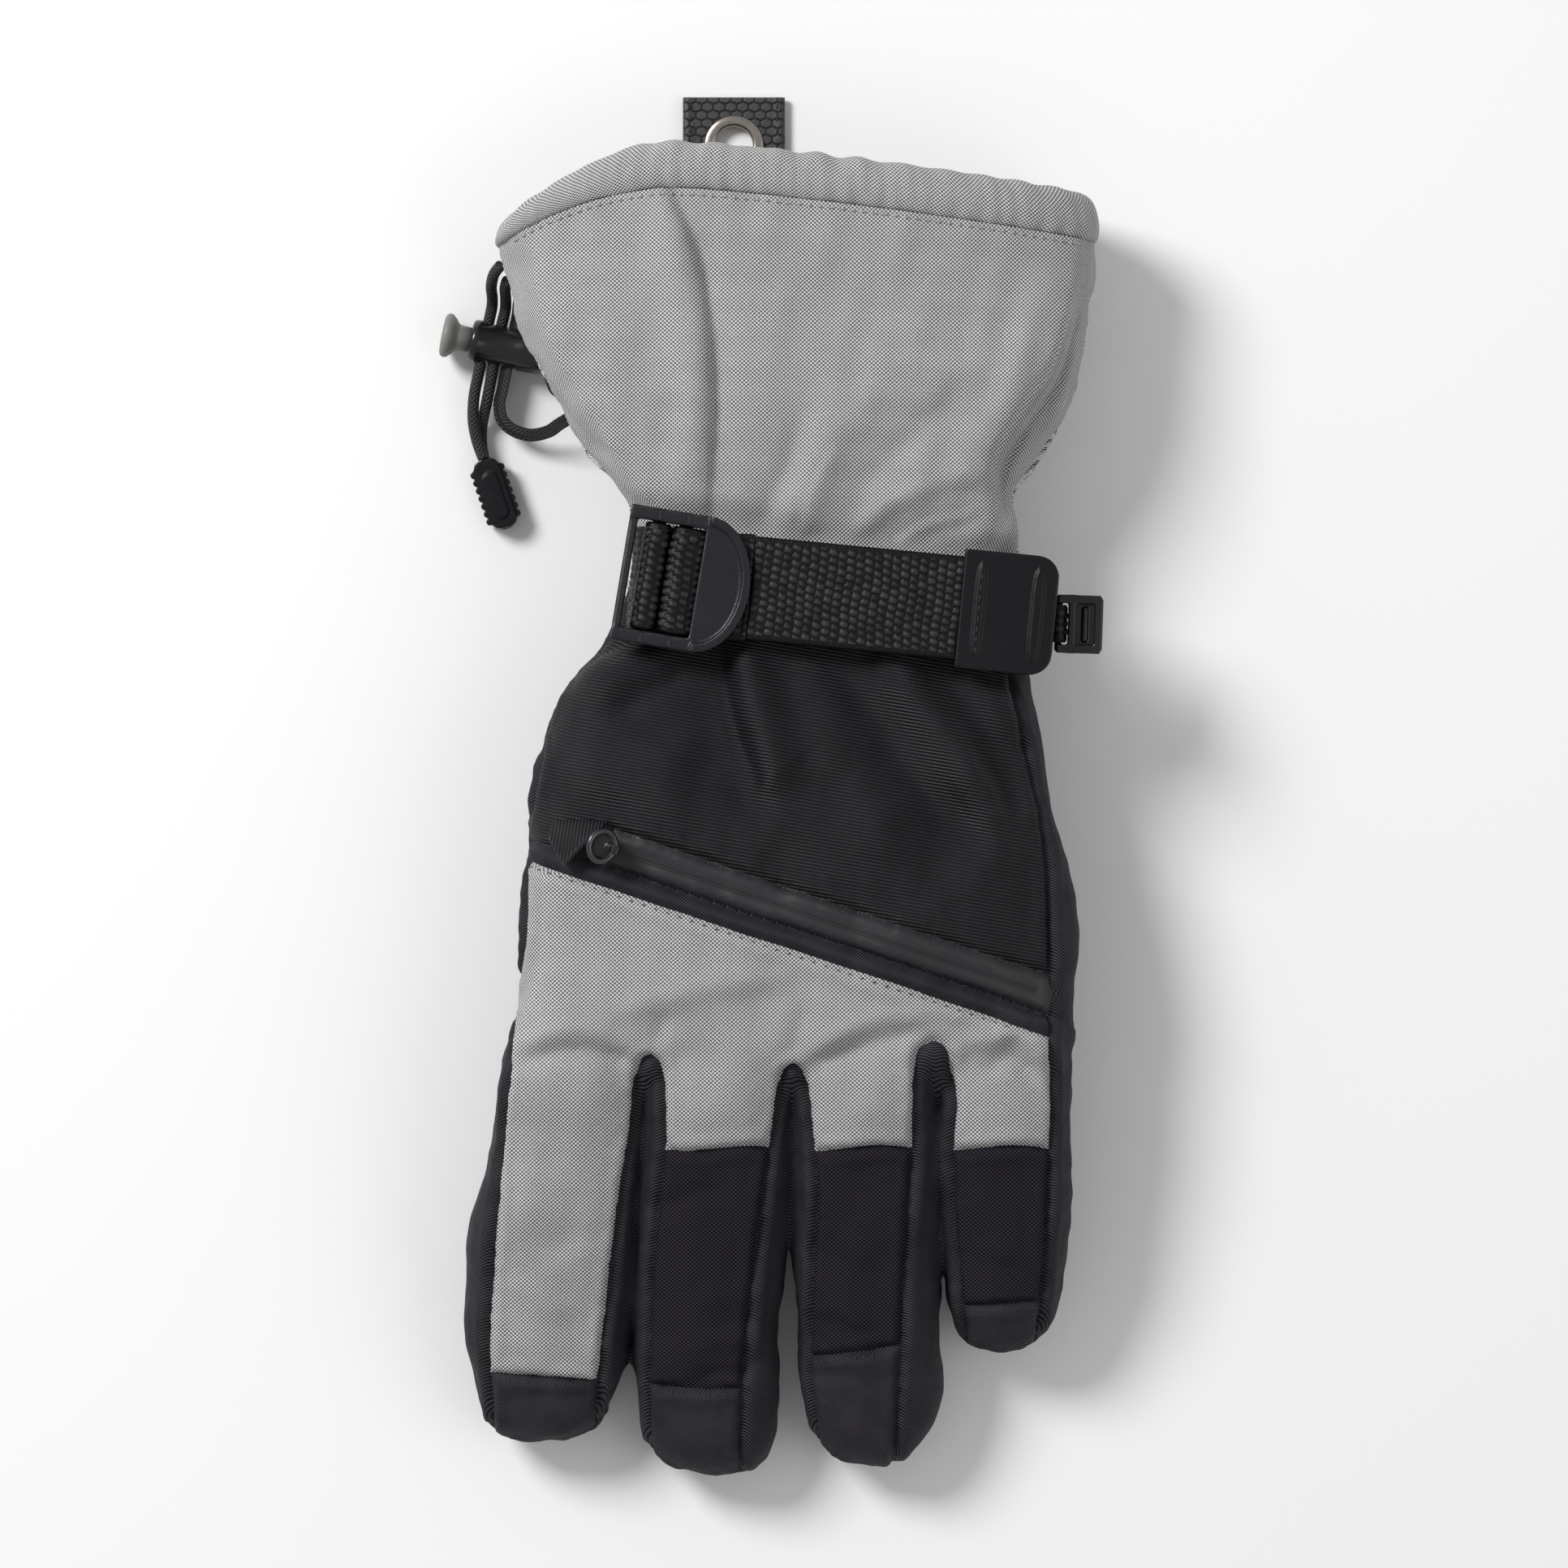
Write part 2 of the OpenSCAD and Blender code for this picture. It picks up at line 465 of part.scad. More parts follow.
// ---- pair clip -----------------------------------------------------------------------------------
clip_at = [66, 38.6];        // pivot of the clip, on its webbing loop
clip_z = 38.4;
clip_l = 11.6;
clip_w = 14.2;
clip_t = 2.8;
clip_bar = 0.9;
module on_clip() translate([clip_at[0], clip_at[1], clip_z]) rotate(-2) children();
module pair_clip_web() color([0.07, 0.07, 0.07]) on_clip() across(9) {
    difference() {
        circle(clip_bar + 1, $fn = 48);
        circle(clip_bar + 0.15, $fn = 48);
    }
    ribbon([[-1.5, -0.2], [-3.4, -0.6], [-5.2, -0.4]], 1);
}
module pair_clip_frame() color([0.07, 0.07, 0.07]) on_clip() {
    translate([2.3, 0, -clip_t / 2]) linear_extrude(clip_t) difference() {
        translate([(clip_l - 3.2) / 2, 0]) rounded(clip_l - 3.2, clip_w, 1.8);
        translate([1.4, -4.8]) square([5.4, 9.6]);
    }
    for (s = [-1, 1]) translate([1.3, s * (clip_w / 2 - 1.1), 0])
        cube([4.6, 2.2, clip_t - 0.2], center = true);
    translate([0, clip_w / 2 - 1, 0]) rotate([90, 0, 0]) cylinder(clip_w - 2, r = clip_bar, $fn = 48);
}
module pair_clip_latch() color([0.07, 0.07, 0.07]) on_clip() translate([4.1, -4.4, -1.1]) {
    cube([4.6, 8.8, 1.4]);
    translate([2.6, 0, 1.3]) cube([1.2, 8.8, 1]);
}

// ---- drawcord, its lock and its end --------------------------------------------------------------
lock_at = [-71.4, 107.6, 6.2];
lock_turn = -11.5;
lock_r = 5.2;
lock_bore = 4.1;
slot_from = -3.9;            // the passage for the two cords and the tape
slot_to = 6.4;
slot_h = 3.7;
press = 3;                   // travel of the button
module on_lock() translate(lock_at) rotate(lock_turn) children();
module lengthwise(from, to, r) translate([from, 0, 0]) rotate([0, 90, 0])
    cylinder(to - from, r = r, $fn = 64);
module cord_lock_barrel() color([0.1, 0.1, 0.11]) on_lock() difference() {
    lengthwise(-5.4, 14.4, lock_r);
    lengthwise(-6, 13.2, lock_bore);
    translate([slot_from, -8, -slot_h / 2]) cube([slot_to - slot_from, 16, slot_h]);
}
module cord_lock_plunger() color([0.35, 0.35, 0.33]) on_lock() {
    difference() {
        lengthwise(-9.4, 8.2, lock_bore - 0.08);
        translate([slot_from - press - 0.2, -8, -slot_h / 2])
            cube([slot_to - slot_from + press + 0.2, 16, slot_h]);
    }
    translate([-12.4, 0, 0]) rotate([0, 90, 0]) rotate_extrude($fn = 64)
        polygon([[0, 0], [5, 0], [5.3, 0.8], [3.6, 3.1], [0, 3.1]]);
}
coils = 3;
spring_wire = 0.6;
module cord_lock_spring() color([0.7, 0.7, 0.7]) on_lock() tube([for (i = [0:36])
    [8.7 + 4 * i / 36, 3 * cos(coils * 10 * i), 3 * sin(coils * 10 * i)]], spring_wire, 6);

// The two strands leave the gauntlet's side seam, run down through the lock and meet in the end
FRONT = [[-68.9, 126, 20], [-70.6, 124, 17.2], [-71.4, 121.4, 12.6], [-71.3, 118.8, 8.6],
    [-71.5, 116.6, 6.6], [-72.3, 112.9, 6.2], [-73.3, 108, 6.2], [-74.2, 103.4, 6.2], [-75, 99.4, 6.2],
    [-75.9, 94.5, 6.3], [-76.1, 89, 5.6], [-75.2, 84, 4.9], [-73.6, 79.6, 4.9]];
REAR = [[-67.4, 122.6, 16.4], [-68, 120.8, 13.4], [-68, 118.4, 9.6], [-68.2, 116, 7], [-69.1, 112.4, 6.2],
    [-70.1, 107.4, 6.2], [-71.1, 102.6, 6.2], [-71.9, 98.2, 6.2], [-72.7, 94, 5.8], [-73.6, 90.2, 3.9],
    [-74.2, 87, 2.1], [-74.2, 83, 1.7], [-73.6, 79.6, 1.7]];
module drawcord_front() color([0.06, 0.06, 0.06]) tube(curve(FRONT, 3), cord_d);
module drawcord_rear() color([0.06, 0.06, 0.06]) tube(curve(REAR, 3), cord_d);
end_turn = 19;
module cord_end() color([0.1, 0.1, 0.1]) translate([-73.6, 79.5, 0.2]) rotate(end_turn)
    linear_extrude(6.2) {
        translate([0, -8.8]) rounded(7.4, 17.4, 2);
        for (s = [-1, 1], y = [-5:-2:-15]) translate([s * 3.7, y]) circle(0.8, $fn = 24);
    }
TAPE = [[-55.6, 95.6, 14], [-57.4, 99.6, 14], [-59.4, 104.4, 13.8], [-61.2, 109.4, 13.8],
    [-62.8, 114.2, 13.2], [-63.8, 117.8, 10.6], [-64.6, 118.8, 8], [-65, 117.2, 6.5], [-65.3, 114.6, 6.2],
    [-66.1, 110.6, 6.2], [-67.7, 102.8, 6.2], [-68.9, 96.8, 6.2], [-69.7, 93, 6.2], [-69, 89.2, 6.2],
    [-66.2, 86.6, 6.2], [-62, 85.4, 6.6], [-57.6, 86.2, 8.4], [-54.6, 88, 11.6]];
tape_h = 3.4;
module cord_tape() color([0.07, 0.07, 0.07])
    sweep(curve(TAPE, 3), [for (c = [[-1, -1], [1, -1], [1, 1], [-1, 1]]) [0.4 * c[0], tape_h / 2 * c[1]]]);

back_panel();
knuckle_panel();
palm_panel();
zip_tape();
zip_coil();
zip_garage();
pocket_bag();
insulation();
lining();
gauntlet_back();
gauntlet_palm();
gauntlet_lining();
cuff_hem();
hem_drawcord();
wrist_elastic();
pull_strap();
eyelet();
strap_lower();
anchor_web();
ladder_buckle();
strap_wrap();
strap_tail();
strap_end_tab();
pair_clip_web();
pair_clip_frame();
pair_clip_latch();
index_root_back();
index_root_palm();
index_tip_back();
index_tip_pad();
index_tip_liner();
middle_root_back();
middle_root_palm();
middle_tip_back();
middle_tip_pad();
middle_tip_liner();
ring_root_back();
ring_root_palm();
ring_tip_back();
ring_tip_pad();
ring_tip_liner();
little_root_back();
little_root_palm();
little_tip_back();
little_tip_pad();
little_tip_liner();
thumb_shell();
thumb_liner();
zip_slider();
zip_ring();
cord_lock_barrel();
cord_lock_plunger();
cord_lock_spring();
drawcord_front();
drawcord_rear();
cord_end();
cord_tape();
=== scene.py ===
import bpy
import math
import numpy as np
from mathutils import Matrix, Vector, kdtree
from mathutils.bvhtree import BVHTree


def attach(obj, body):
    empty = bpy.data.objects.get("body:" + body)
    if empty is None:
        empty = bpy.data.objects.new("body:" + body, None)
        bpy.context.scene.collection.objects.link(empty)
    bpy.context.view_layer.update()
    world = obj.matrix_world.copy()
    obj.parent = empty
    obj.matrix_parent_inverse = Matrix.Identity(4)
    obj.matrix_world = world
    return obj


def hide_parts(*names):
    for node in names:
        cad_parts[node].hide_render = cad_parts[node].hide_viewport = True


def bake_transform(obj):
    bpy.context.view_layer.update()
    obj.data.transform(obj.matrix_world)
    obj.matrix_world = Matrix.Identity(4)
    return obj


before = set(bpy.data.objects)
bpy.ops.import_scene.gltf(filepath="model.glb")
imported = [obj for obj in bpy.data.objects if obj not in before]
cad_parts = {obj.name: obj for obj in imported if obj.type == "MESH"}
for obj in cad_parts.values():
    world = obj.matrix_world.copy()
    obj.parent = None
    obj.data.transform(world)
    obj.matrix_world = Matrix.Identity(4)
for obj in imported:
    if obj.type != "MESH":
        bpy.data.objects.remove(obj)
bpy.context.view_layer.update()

MM = 0.001
FINGERS = ["index", "middle", "ring", "little"]

# ---------------------------------------------------------------- shape of the glove, in millimetres
# Stations: y, centre x, half width, centre z, half height, share of the mouth's arch
BODY = np.array([
    [141.7, 3.2, 70.6, 25.6, 21.8, 1], [130.5, 3.2, 71.8, 25.6, 21.8, 1], [118, 4.6, 69.6, 25.8, 21.4, .5],
    [106, 5.8, 67.2, 26.2, 20.8, .12], [92, 8, 61.6, 27.4, 19.4, 0], [80, 7.4, 54.6, 28.6, 17, 0],
    [70, 9, 46.6, 30, 14.4, 0], [60, 10, 46.2, 30.8, 13, 0], [46, 9, 47.6, 31, 12.4, 0],
    [34, 7.9, 50.4, 31.2, 12.8, 0], [22, 3.6, 56.6, 31.6, 13.6, 0], [2, 1.6, 61.2, 32.2, 14.4, 0],
    [-17, 3, 65, 32.2, 14.4, 0], [-37, 3.2, 66.8, 32, 14.2, 0], [-56, 2.8, 67.2, 31.4, 13.6, 0],
    [-64, 1.6, 66.8, 31, 12.8, 0], [-70, 1.4, 62, 30.4, 9.6, 0], [-75, 1.4, 57, 27.6, 7, 0],
    [-82, 1.4, 52, 25.4, 5.4, 0], [-86, 1.4, 48, 24.6, 2.4, 0]])
INDEX = np.array([
    [-44, -47.4, 14.8, 31.4, 11.6], [-64, -50, 16.6, 30.8, 13.2], [-78, -51.8, 17.6, 28.8, 13.2],
    [-95, -53.9, 18.4, 25.4, 12.8], [-114, -56.6, 19.9, 21, 12.4], [-128, -57.5, 20.1, 17.6, 12.2],
    [-140, -57.4, 18.9, 15.2, 11.8], [-149, -58, 16.7, 13.6, 10.8], [-155, -57.8, 13.8, 12.6, 8.8],
    [-158.2, -57.4, 8.6, 12, 5.6], [-159.4, -57.2, 3, 11.8, 2]])
MIDDLE = np.array([
    [-44, -15.4, 14.4, 31.4, 11.6], [-64, -15.8, 15.4, 30.8, 13.2], [-78, -16.2, 17.4, 28.8, 13.2],
    [-95, -16.6, 18, 25.4, 12.8], [-114, -17.8, 17.9, 20.8, 12.4], [-130, -18.9, 17.1, 17.2, 12.2],
    [-144, -18.6, 17.6, 14.6, 11.8], [-156, -18.2, 16.6, 12.8, 10.6], [-163, -17.4, 13.4, 11.8, 8.4],
    [-167, -17.2, 8.8, 11.2, 5.4], [-168.5, -17.4, 3, 11, 2]])
RING = np.array([
    [-44, 18.8, 14.4, 31.4, 11.6], [-64, 19, 15.4, 30.8, 13.2], [-78, 19.6, 17.2, 28.8, 13.2],
    [-95, 19.9, 17.8, 25.4, 12.8], [-114, 20, 17.6, 20.9, 12.4], [-130, 20.9, 16.6, 17.4, 12.2],
    [-144, 21.1, 16.9, 14.8, 11.6], [-154, 21.2, 15.4, 13.2, 10.4], [-160.4, 21.4, 12.2, 12.2, 8.2],
    [-164, 21.3, 7.8, 11.6, 5], [-165.5, 20.8, 2.8, 11.4, 2]])
LITTLE = np.array([
    [-44, 52.6, 13.6, 31.2, 11], [-62, 53.2, 14.4, 30.4, 12.6], [-76, 53.2, 15.8, 28.6, 12.4],
    [-90, 53.3, 16, 26, 12], [-104, 53.7, 15.2, 22.8, 11.6], [-118, 53.9, 14.2, 19.4, 11.2],
    [-128, 53.4, 12.8, 17, 10.2], [-134, 52.8, 9.8, 15.8, 7.8], [-137, 52.4, 6, 15.2, 4.8],
    [-138.2, 52, 2.4, 15, 1.8]])
TABLES = [INDEX, MIDDLE, RING, LITTLE]
HEM_LINE = 130.7            # where the hem band is sewn on, before the mouth's arch
ARCH_TALL, ARCH_PEAK = 12.0, -25.0
ARCH_LEFT, ARCH_RIGHT = (42.5, 2.0), (100.0, 1.25)      # each side's run down from the peak, and its curve
KNUCKLE_CUT = -88.0         # below this line the cloth belongs to the fingers
CUFF_SQUARE, FINGER_SQUARE, THUMB_SQUARE = .68, .78, .72    # powers of the sections: 1 is an ellipse
HAND_TOP = 66.0             # the hand's seams end under the strap
WRIST_ELASTIC = 46.0        # where the gauntlet meets the palm

# Seams seen from above: each line is a list of (y, x), from the cuff down
EDGE_LEFT = [(64, -41), (46, -41), (34, -45), (21, -55), (12, -57.4), (2, -59.3), (-9, -61.4), (-20.7, -62),
             (-37, -62.6), (-52, -64), (-66, -66), (-76, -67), (-95, -69), (-114.7, -70.4), (-130, -71.6),
             (-143, -71.8),
             (-160, -71)]
EDGE_RIGHT = [(64, 50), (46, 52), (27, 54.5), (12, 57.5), (-5.5, 61.5), (-17, 63.4), (-37, 64.2),
              (-50, 64.4),
              (-66, 64.2), (-76, 64.7), (-88, 64.4), (-105, 63.8), (-126, 62.6), (-140, 61)]
# The black side walls between two fingers: left line, right line
WALLS = [
    ([(-58, -29.6), (-65.6, -32.3), (-66, -33.6), (-67, -34.6), (-69, -35.2), (-83.5, -36.6), (-95, -38.6),
      (-114.7, -41.2), (-134, -43.6), (-145, -44.8), (-157, -45.2), (-170, -45.4)],
     [(-58, -35), (-65.6, -32.3), (-66, -31), (-67, -30), (-69, -29.4), (-87, -29), (-105, -31.2),
      (-124, -32.8),
      (-142, -33.4), (-158, -33), (-170, -31)]),
    ([(-60, 5), (-68, 2.3), (-68.4, 1), (-69.4, 0), (-71.4, -.6), (-87.8, -3), (-105, -5.5), (-124, -8),
      (-144, -9.8), (-161, -10.5), (-170, -10.6)],
     [(-60, -.4), (-68, 2.3), (-68.4, 3.5), (-69.4, 4.4), (-71.4, 4.9), (-87.8, 6.6), (-99, 7.6),
      (-114.7, 6.6),
      (-134, 5.9), (-144, 6), (-155, 7.4), (-166, 9)]),
    ([(-54, 38.4), (-61.8, 35.8), (-62.2, 34), (-63.4, 32.6), (-65.4, 31.9), (-87.8, 31.2), (-114.7, 29.4),
      (-138, 28.2), (-154, 27.6), (-166, 27)],
     [(-54, 33), (-61.8, 35.8), (-62.2, 37.6), (-63.4, 38.8), (-65.4, 39.6), (-76, 40.8), (-88, 40.2),
      (-105, 40.6),
      (-126, 42.6), (-136, 44.4), (-150, 46)])]
GAPS = [[(-60, -32.6), (-88, -34.6), (-114, -36.1), (-134, -36.8), (-145, -37.8), (-157, -39.2),
         (-170, -39)],
        [(-60, 2.3), (-88, 1.6), (-105, 1.2), (-124, 1.2), (-144, 1.6), (-160, 2.8), (-170, 3)],
        [(-60, 35.9), (-88, 37.4), (-105, 37.8), (-124, 38.6), (-140, 39.4), (-160, 41)]]
# Lower seam of the fingers' black back panels, as (x, y) pairs: left end, right end
CAPS = [((-72, -143), (-45, -144.9)), ((-34, -146), (-10, -146.6)), ((5, -139.2), (28, -136)),
        ((43, -126.8), (63, -125.2))]
PADS = [((-66, -126.4), (-40, -117.6)), ((-30, -113.7), (-4, -104.9)), ((5.6, -101), (30, -90.6)),
        ((41.6, -96.4), (62, -89.6))]
# Edges of the palm's leather on the underside
PALM_LEFT = [(48, -30), (34, -36), (2, -52), (-20, -58), (-44, -61), (-66, -62), (-95, -65), (-126, -69),
             (-150, -69)]
PALM_RIGHT = [(48, 34), (41, 35), (18, 44), (-5, 52.6), (-40, 57.4), (-70, 60.6), (-90, 61.6), (-126, 61)]
PALM_WALLS = [
    ([(-54, -30.4), (-64, -33), (-66, -35.4), (-70, -36.4), (-95, -39.4), (-126, -43), (-150, -43.4)],
     [(-54, -35.6), (-64, -33), (-66, -30.8), (-70, -29.6), (-95, -30), (-130, -31), (-165, -31)]),
    ([(-56, 5), (-66, 2.3), (-68, -.2), (-72, -1.4), (-95, -5), (-130, -6.4), (-165, -6.6)],
     [(-56, -.4), (-66, 2.3), (-68, 4.6), (-72, 6), (-95, 8.4), (-130, 9), (-160, 10)]),
    ([(-50, 38.4), (-60, 35.9), (-62, 33.4), (-66, 32), (-95, 31), (-130, 32), (-160, 32)],
     [(-50, 33.4), (-60, 35.9), (-62, 38.4), (-66, 40), (-90, 43), (-120, 43.6), (-150, 44)])]
ZIP_START, ZIP_END = np.array([-41.0, -15.6]), np.array([62.0, -50.0])
ZIP_DIR = (ZIP_END - ZIP_START) / np.linalg.norm(ZIP_END - ZIP_START)
ZIP_NORMAL = np.array([-ZIP_DIR[1], ZIP_DIR[0]])
BAND_HALF = 4.5
KNUCKLE_SEAM = 9.4          # from the zip's centre line down to the grey panel's upper seam
STRAP_AT, STRAP_TILT = np.array([-39.2, 49.9]), math.radians(-5.5)
BAR_LEFT, BAR_RIGHT, BAR_Z = 7.2, 13.8, 48.0        # the buckle's two round bars, from the strap's origin
LOCK_AT, LOCK_TILT = (-71.4, 107.6, 6.2), math.radians(-11.5)
CLIP_AT, CLIP_Z, CLIP_TILT = (66, 38.6), 38.4, math.radians(-2)

VOXEL = 1.0                 # grain of the shell's mesh
PALM_CUT = -76.0            # the palm's leather is cut here, out of sight, where the fingers begin to bend
TIP_INSET = 5.5             # border of side cloth round the end of a palm pad


# ---------------------------------------------------------------- numbers and noise
def line(points, at):
    """A polyline's second value at the first one."""
    p = np.array(points, float)
    order = np.argsort(p[:, 0])
    return np.interp(at, p[order, 0], p[order, 1])


def smooth(a, b, x):
    t = np.clip((x - a) / (b - a), 0, 1)
    return t * t * (3 - 2 * t)


def bell(x, width):
    return np.exp(-(x / width) ** 2)


def waves(P, scale, seed):
    """Soft random waves of about this wavelength on each axis, with a spread near 1."""
    count = 14
    r = np.random.default_rng(seed)
    P = P / np.array(scale, float)
    total = np.zeros(len(P))
    for _ in range(count):
        k = r.normal(size=P.shape[1])
        k *= 2 * np.pi * r.uniform(.55, 1.6) / np.linalg.norm(k)
        total += np.sin(P @ k + r.uniform(0, 2 * np.pi))
    return total / math.sqrt(count / 2)


def catmull(rows, steps):
    rows = np.asarray(rows, float)
    out = []
    for i in range(len(rows) - 1):
        a, b, c, d = rows[max(i - 1, 0)], rows[i], rows[i + 1], rows[min(i + 2, len(rows) - 1)]
        for k in range(steps):
            t = k / steps
            out.append(.5 * (2 * b + (c - a) * t + (2 * a - 5 * b + 4 * c - d) * t ** 2
                             + (3 * b - a - 3 * c + d) * t ** 3))
    out.append(rows[-1])
    return np.array(out)


def spow(v, e):
    return np.sign(v) * np.abs(v) ** e


def run_along(path):
    """Length of a path from its start to each of its points."""
    path = np.asarray(path, float)
    return np.concatenate([[0], np.cumsum(np.linalg.norm(np.diff(path, axis=0), axis=1))])


def resampled(path, spacing):
    """The path again, with points this far apart."""
    path = np.asarray(path, float)
    run = run_along(path)
    at = np.linspace(0, run[-1], max(int(round(run[-1] / spacing)), 2) + 1)
    return np.stack([np.interp(at, run, path[:, c]) for c in range(path.shape[1])], 1)


def directions(path):
    along = np.gradient(path, axis=0)
    along /= np.linalg.norm(along, axis=1, keepdims=True)
    return along


def outward(path):
    """Normals of a flat path, to its left."""
    along = directions(path)
    return np.stack([-along[:, 1], along[:, 0]], 1)


def arch(x):
    """How far the cuff's mouth reaches past its line at x."""
    off = np.asarray(x, float) - ARCH_PEAK
    left = (np.maximum(-off, 0) / ARCH_LEFT[0]) ** ARCH_LEFT[1]
    right = (np.maximum(off, 0) / ARCH_RIGHT[0]) ** ARCH_RIGHT[1]
    return ARCH_TALL * (1 - left - right)


def ring(station, t, e, depth=0.0):
    """Points of a section at angles t, this far inside it."""
    y, xc, hw, zc, hh = station[:5]
    x = xc + (hw - depth) * spow(np.cos(t), e)
    z = zc + (hh - depth) * spow(np.sin(t), e)
    share = station[5] if len(station) > 5 else 0
    return np.stack([x, y + share * arch(x), z], 1)


def ring_faces(rings, around):
    """Quads between rings of points, one ring after another."""
    return [(j * around + i, (j + 1) * around + i, (j + 1) * around + (i + 1) % around,
             j * around + (i + 1) % around)
            for j in range(rings - 1) for i in range(around)]


def loft(table, e, around=96, steps=8, depth=0.0, caps=True):
    """A skin through the table's stations; e is how square their sections are."""
    stations = catmull(table, steps)
    t = np.linspace(0, 2 * np.pi, around, endpoint=False)
    P = np.concatenate([ring(s, t, e, depth) for s in stations])
    n = len(stations)
    faces = ring_faces(n, around)
    if caps:
        faces.append(tuple(range(around)))
        faces.append(tuple((n - 1) * around + i for i in reversed(range(around))))
    return P, faces


# ---------------------------------------------------------------- meshes
def new_mesh(name, P, faces, uv=None, shade=True):
    """A mesh object from points in millimetres. uv is one pair for each point."""
    mesh = bpy.data.meshes.new(name)
    mesh.from_pydata((np.asarray(P) * MM).tolist(), [], [list(map(int, f)) for f in faces])
    if uv is not None:
        layer = mesh.uv_layers.new(name="cloth")
        index = np.zeros(len(mesh.loops), int)
        mesh.loops.foreach_get("vertex_index", index)
        layer.data.foreach_set("uv", np.asarray(uv)[index].astype(np.float32).ravel())
    mesh.update()
    if shade:
        mesh.polygons.foreach_set("use_smooth", np.ones(len(mesh.polygons), bool))
    ob = bpy.data.objects.new(name, mesh)
    bpy.context.scene.collection.objects.link(ob)
    return ob


def read_mesh(ob):
    ob_eval = ob.evaluated_get(bpy.context.evaluated_depsgraph_get())
    mesh = ob_eval.to_mesh()
    mesh.calc_loop_triangles()
    P = np.zeros(len(mesh.vertices) * 3)
    mesh.vertices.foreach_get("co", P)
    T = np.zeros(len(mesh.loop_triangles) * 3, int)
    mesh.loop_triangles.foreach_get("vertices", T)
    P, T = P.reshape(-1, 3) / MM, T.reshape(-1, 3)
    ob_eval.to_mesh_clear()
    return P, T


def joined(parts):
    """Several solids' points and faces as one."""
    points, faces, start = [], [], 0
    for P, F in parts:
        points.append(np.asarray(P, float))
        faces += [tuple(int(v) + start for v in f) for f in F]
        start += len(P)
    return np.concatenate(points), faces


def skinned(name, P, faces, voxel):
    """One closed skin round solids that overlap."""
    ob = new_mesh(name, P, faces)
    modifier = ob.modifiers.new("skin", "REMESH")
    modifier.mode, modifier.voxel_size = "VOXEL", voxel * MM
    P, T = read_mesh(ob)
    bpy.data.objects.remove(ob)
    return P, T


def sides_of(T):
    """The three sides of every triangle, as sorted pairs of points."""
    return np.sort(np.concatenate([T[:, [0, 1]], T[:, [1, 2]], T[:, [2, 0]]]), 1)


def relax(P, T, times):
    """Moves each point halfway to the mean of its neighbours, this many times."""
    E = np.unique(sides_of(T), axis=0)
    count = np.bincount(E.ravel(), minlength=len(P))[:, None]
    for _ in range(times):
        total = np.zeros_like(P)
        for c in range(3):
            total[:, c] = (np.bincount(E[:, 0], P[E[:, 1], c], len(P))
                           + np.bincount(E[:, 1], P[E[:, 0], c], len(P)))
        P = P + .5 * (total / np.maximum(count, 1) - P)
    return P


def normals(P, T):
    n = np.cross(P[T[:, 1]] - P[T[:, 0]], P[T[:, 2]] - P[T[:, 0]])
    N = np.zeros_like(P)
    for k in range(3):
        for c in range(3):
            N[:, c] += np.bincount(T[:, k], n[:, c], len(P))
    return N / np.maximum(np.linalg.norm(N, axis=1, keepdims=True), 1e-12)


def split(P, T, field, where=None):
    """Cuts the triangles that the field's zero line crosses, so that none lies on both of its sides."""
    s = field(P)
    s[np.abs(s) < 1e-4] = 0
    use = np.ones(len(P), bool) if where is None else where(P)
    side = np.sign(s)[T]
    crossing = (side.min(1) < 0) & (side.max(1) > 0) & use[T].all(1)
    made, extra, points = {}, [], []

    def cut(a, b):
        key = (min(a, b), max(a, b))
        if key not in made:
            a, b = key
            f = s[a] / (s[a] - s[b])
            made[key] = len(P) + len(points)
            points.append(P[a] + f * (P[b] - P[a]))
        return made[key]

    for tri in T[crossing]:
        tri = [int(v) for v in tri]
        polys = {1: [], -1: []}
        for k in range(3):
            a, b = tri[k], tri[(k + 1) % 3]
            if s[a] >= 0:
                polys[1].append(a)
            if s[a] <= 0:
                polys[-1].append(a)
            if s[a] * s[b] < 0:
                m = cut(a, b)
                polys[1].append(m)
                polys[-1].append(m)
        for poly in polys.values():
            for k in range(1, len(poly) - 1):
                extra.append((poly[0], poly[k], poly[k + 1]))
    # neighbours outside the mask that share a cut edge get the new point too, so no crack opens
    if made:
        keys = set(made)
        rest = T[~crossing]
        touched = np.zeros(len(P), bool)
        touched[list({v for k in keys for v in k})] = True
        near = touched[rest].sum(1) >= 2
        keep = [rest[~near]]
        for tri in rest[near]:
            tri = [int(v) for v in tri]
            poly = []
            for k in range(3):
                a, b = tri[k], tri[(k + 1) % 3]
                poly.append(a)
                m = made.get((min(a, b), max(a, b)))
                if m is not None:
                    poly.append(m)
            if len(poly) == 3:
                extra.append(tuple(tri))
            else:
                first = next(i for i, v in enumerate(poly) if v >= len(P))
                poly = poly[first:] + poly[:first]
                for k in range(1, len(poly) - 1):
                    extra.append((poly[0], poly[k], poly[k + 1]))
        T = np.concatenate(keep + [np.array(extra, int).reshape(-1, 3)])
        P = np.concatenate([P, np.array(points).reshape(-1, 3)])
    return P, T


# ---------------------------------------------------------------- materials
def shader(name, colour, rough=.8, **sockets):
    """A material with a Principled shader, and what its nodes are built with."""
    m = bpy.data.materials.new(name)
    m.use_nodes = True
    nodes, links = m.node_tree.nodes, m.node_tree.links
    bsdf = nodes["Principled BSDF"]
    bsdf.inputs["Base Color"].default_value = (*colour, 1)
    bsdf.inputs["Roughness"].default_value = rough
    for key, value in sockets.items():
        bsdf.inputs[key.replace("_", " ")].default_value = value
    return m, nodes, links, bsdf


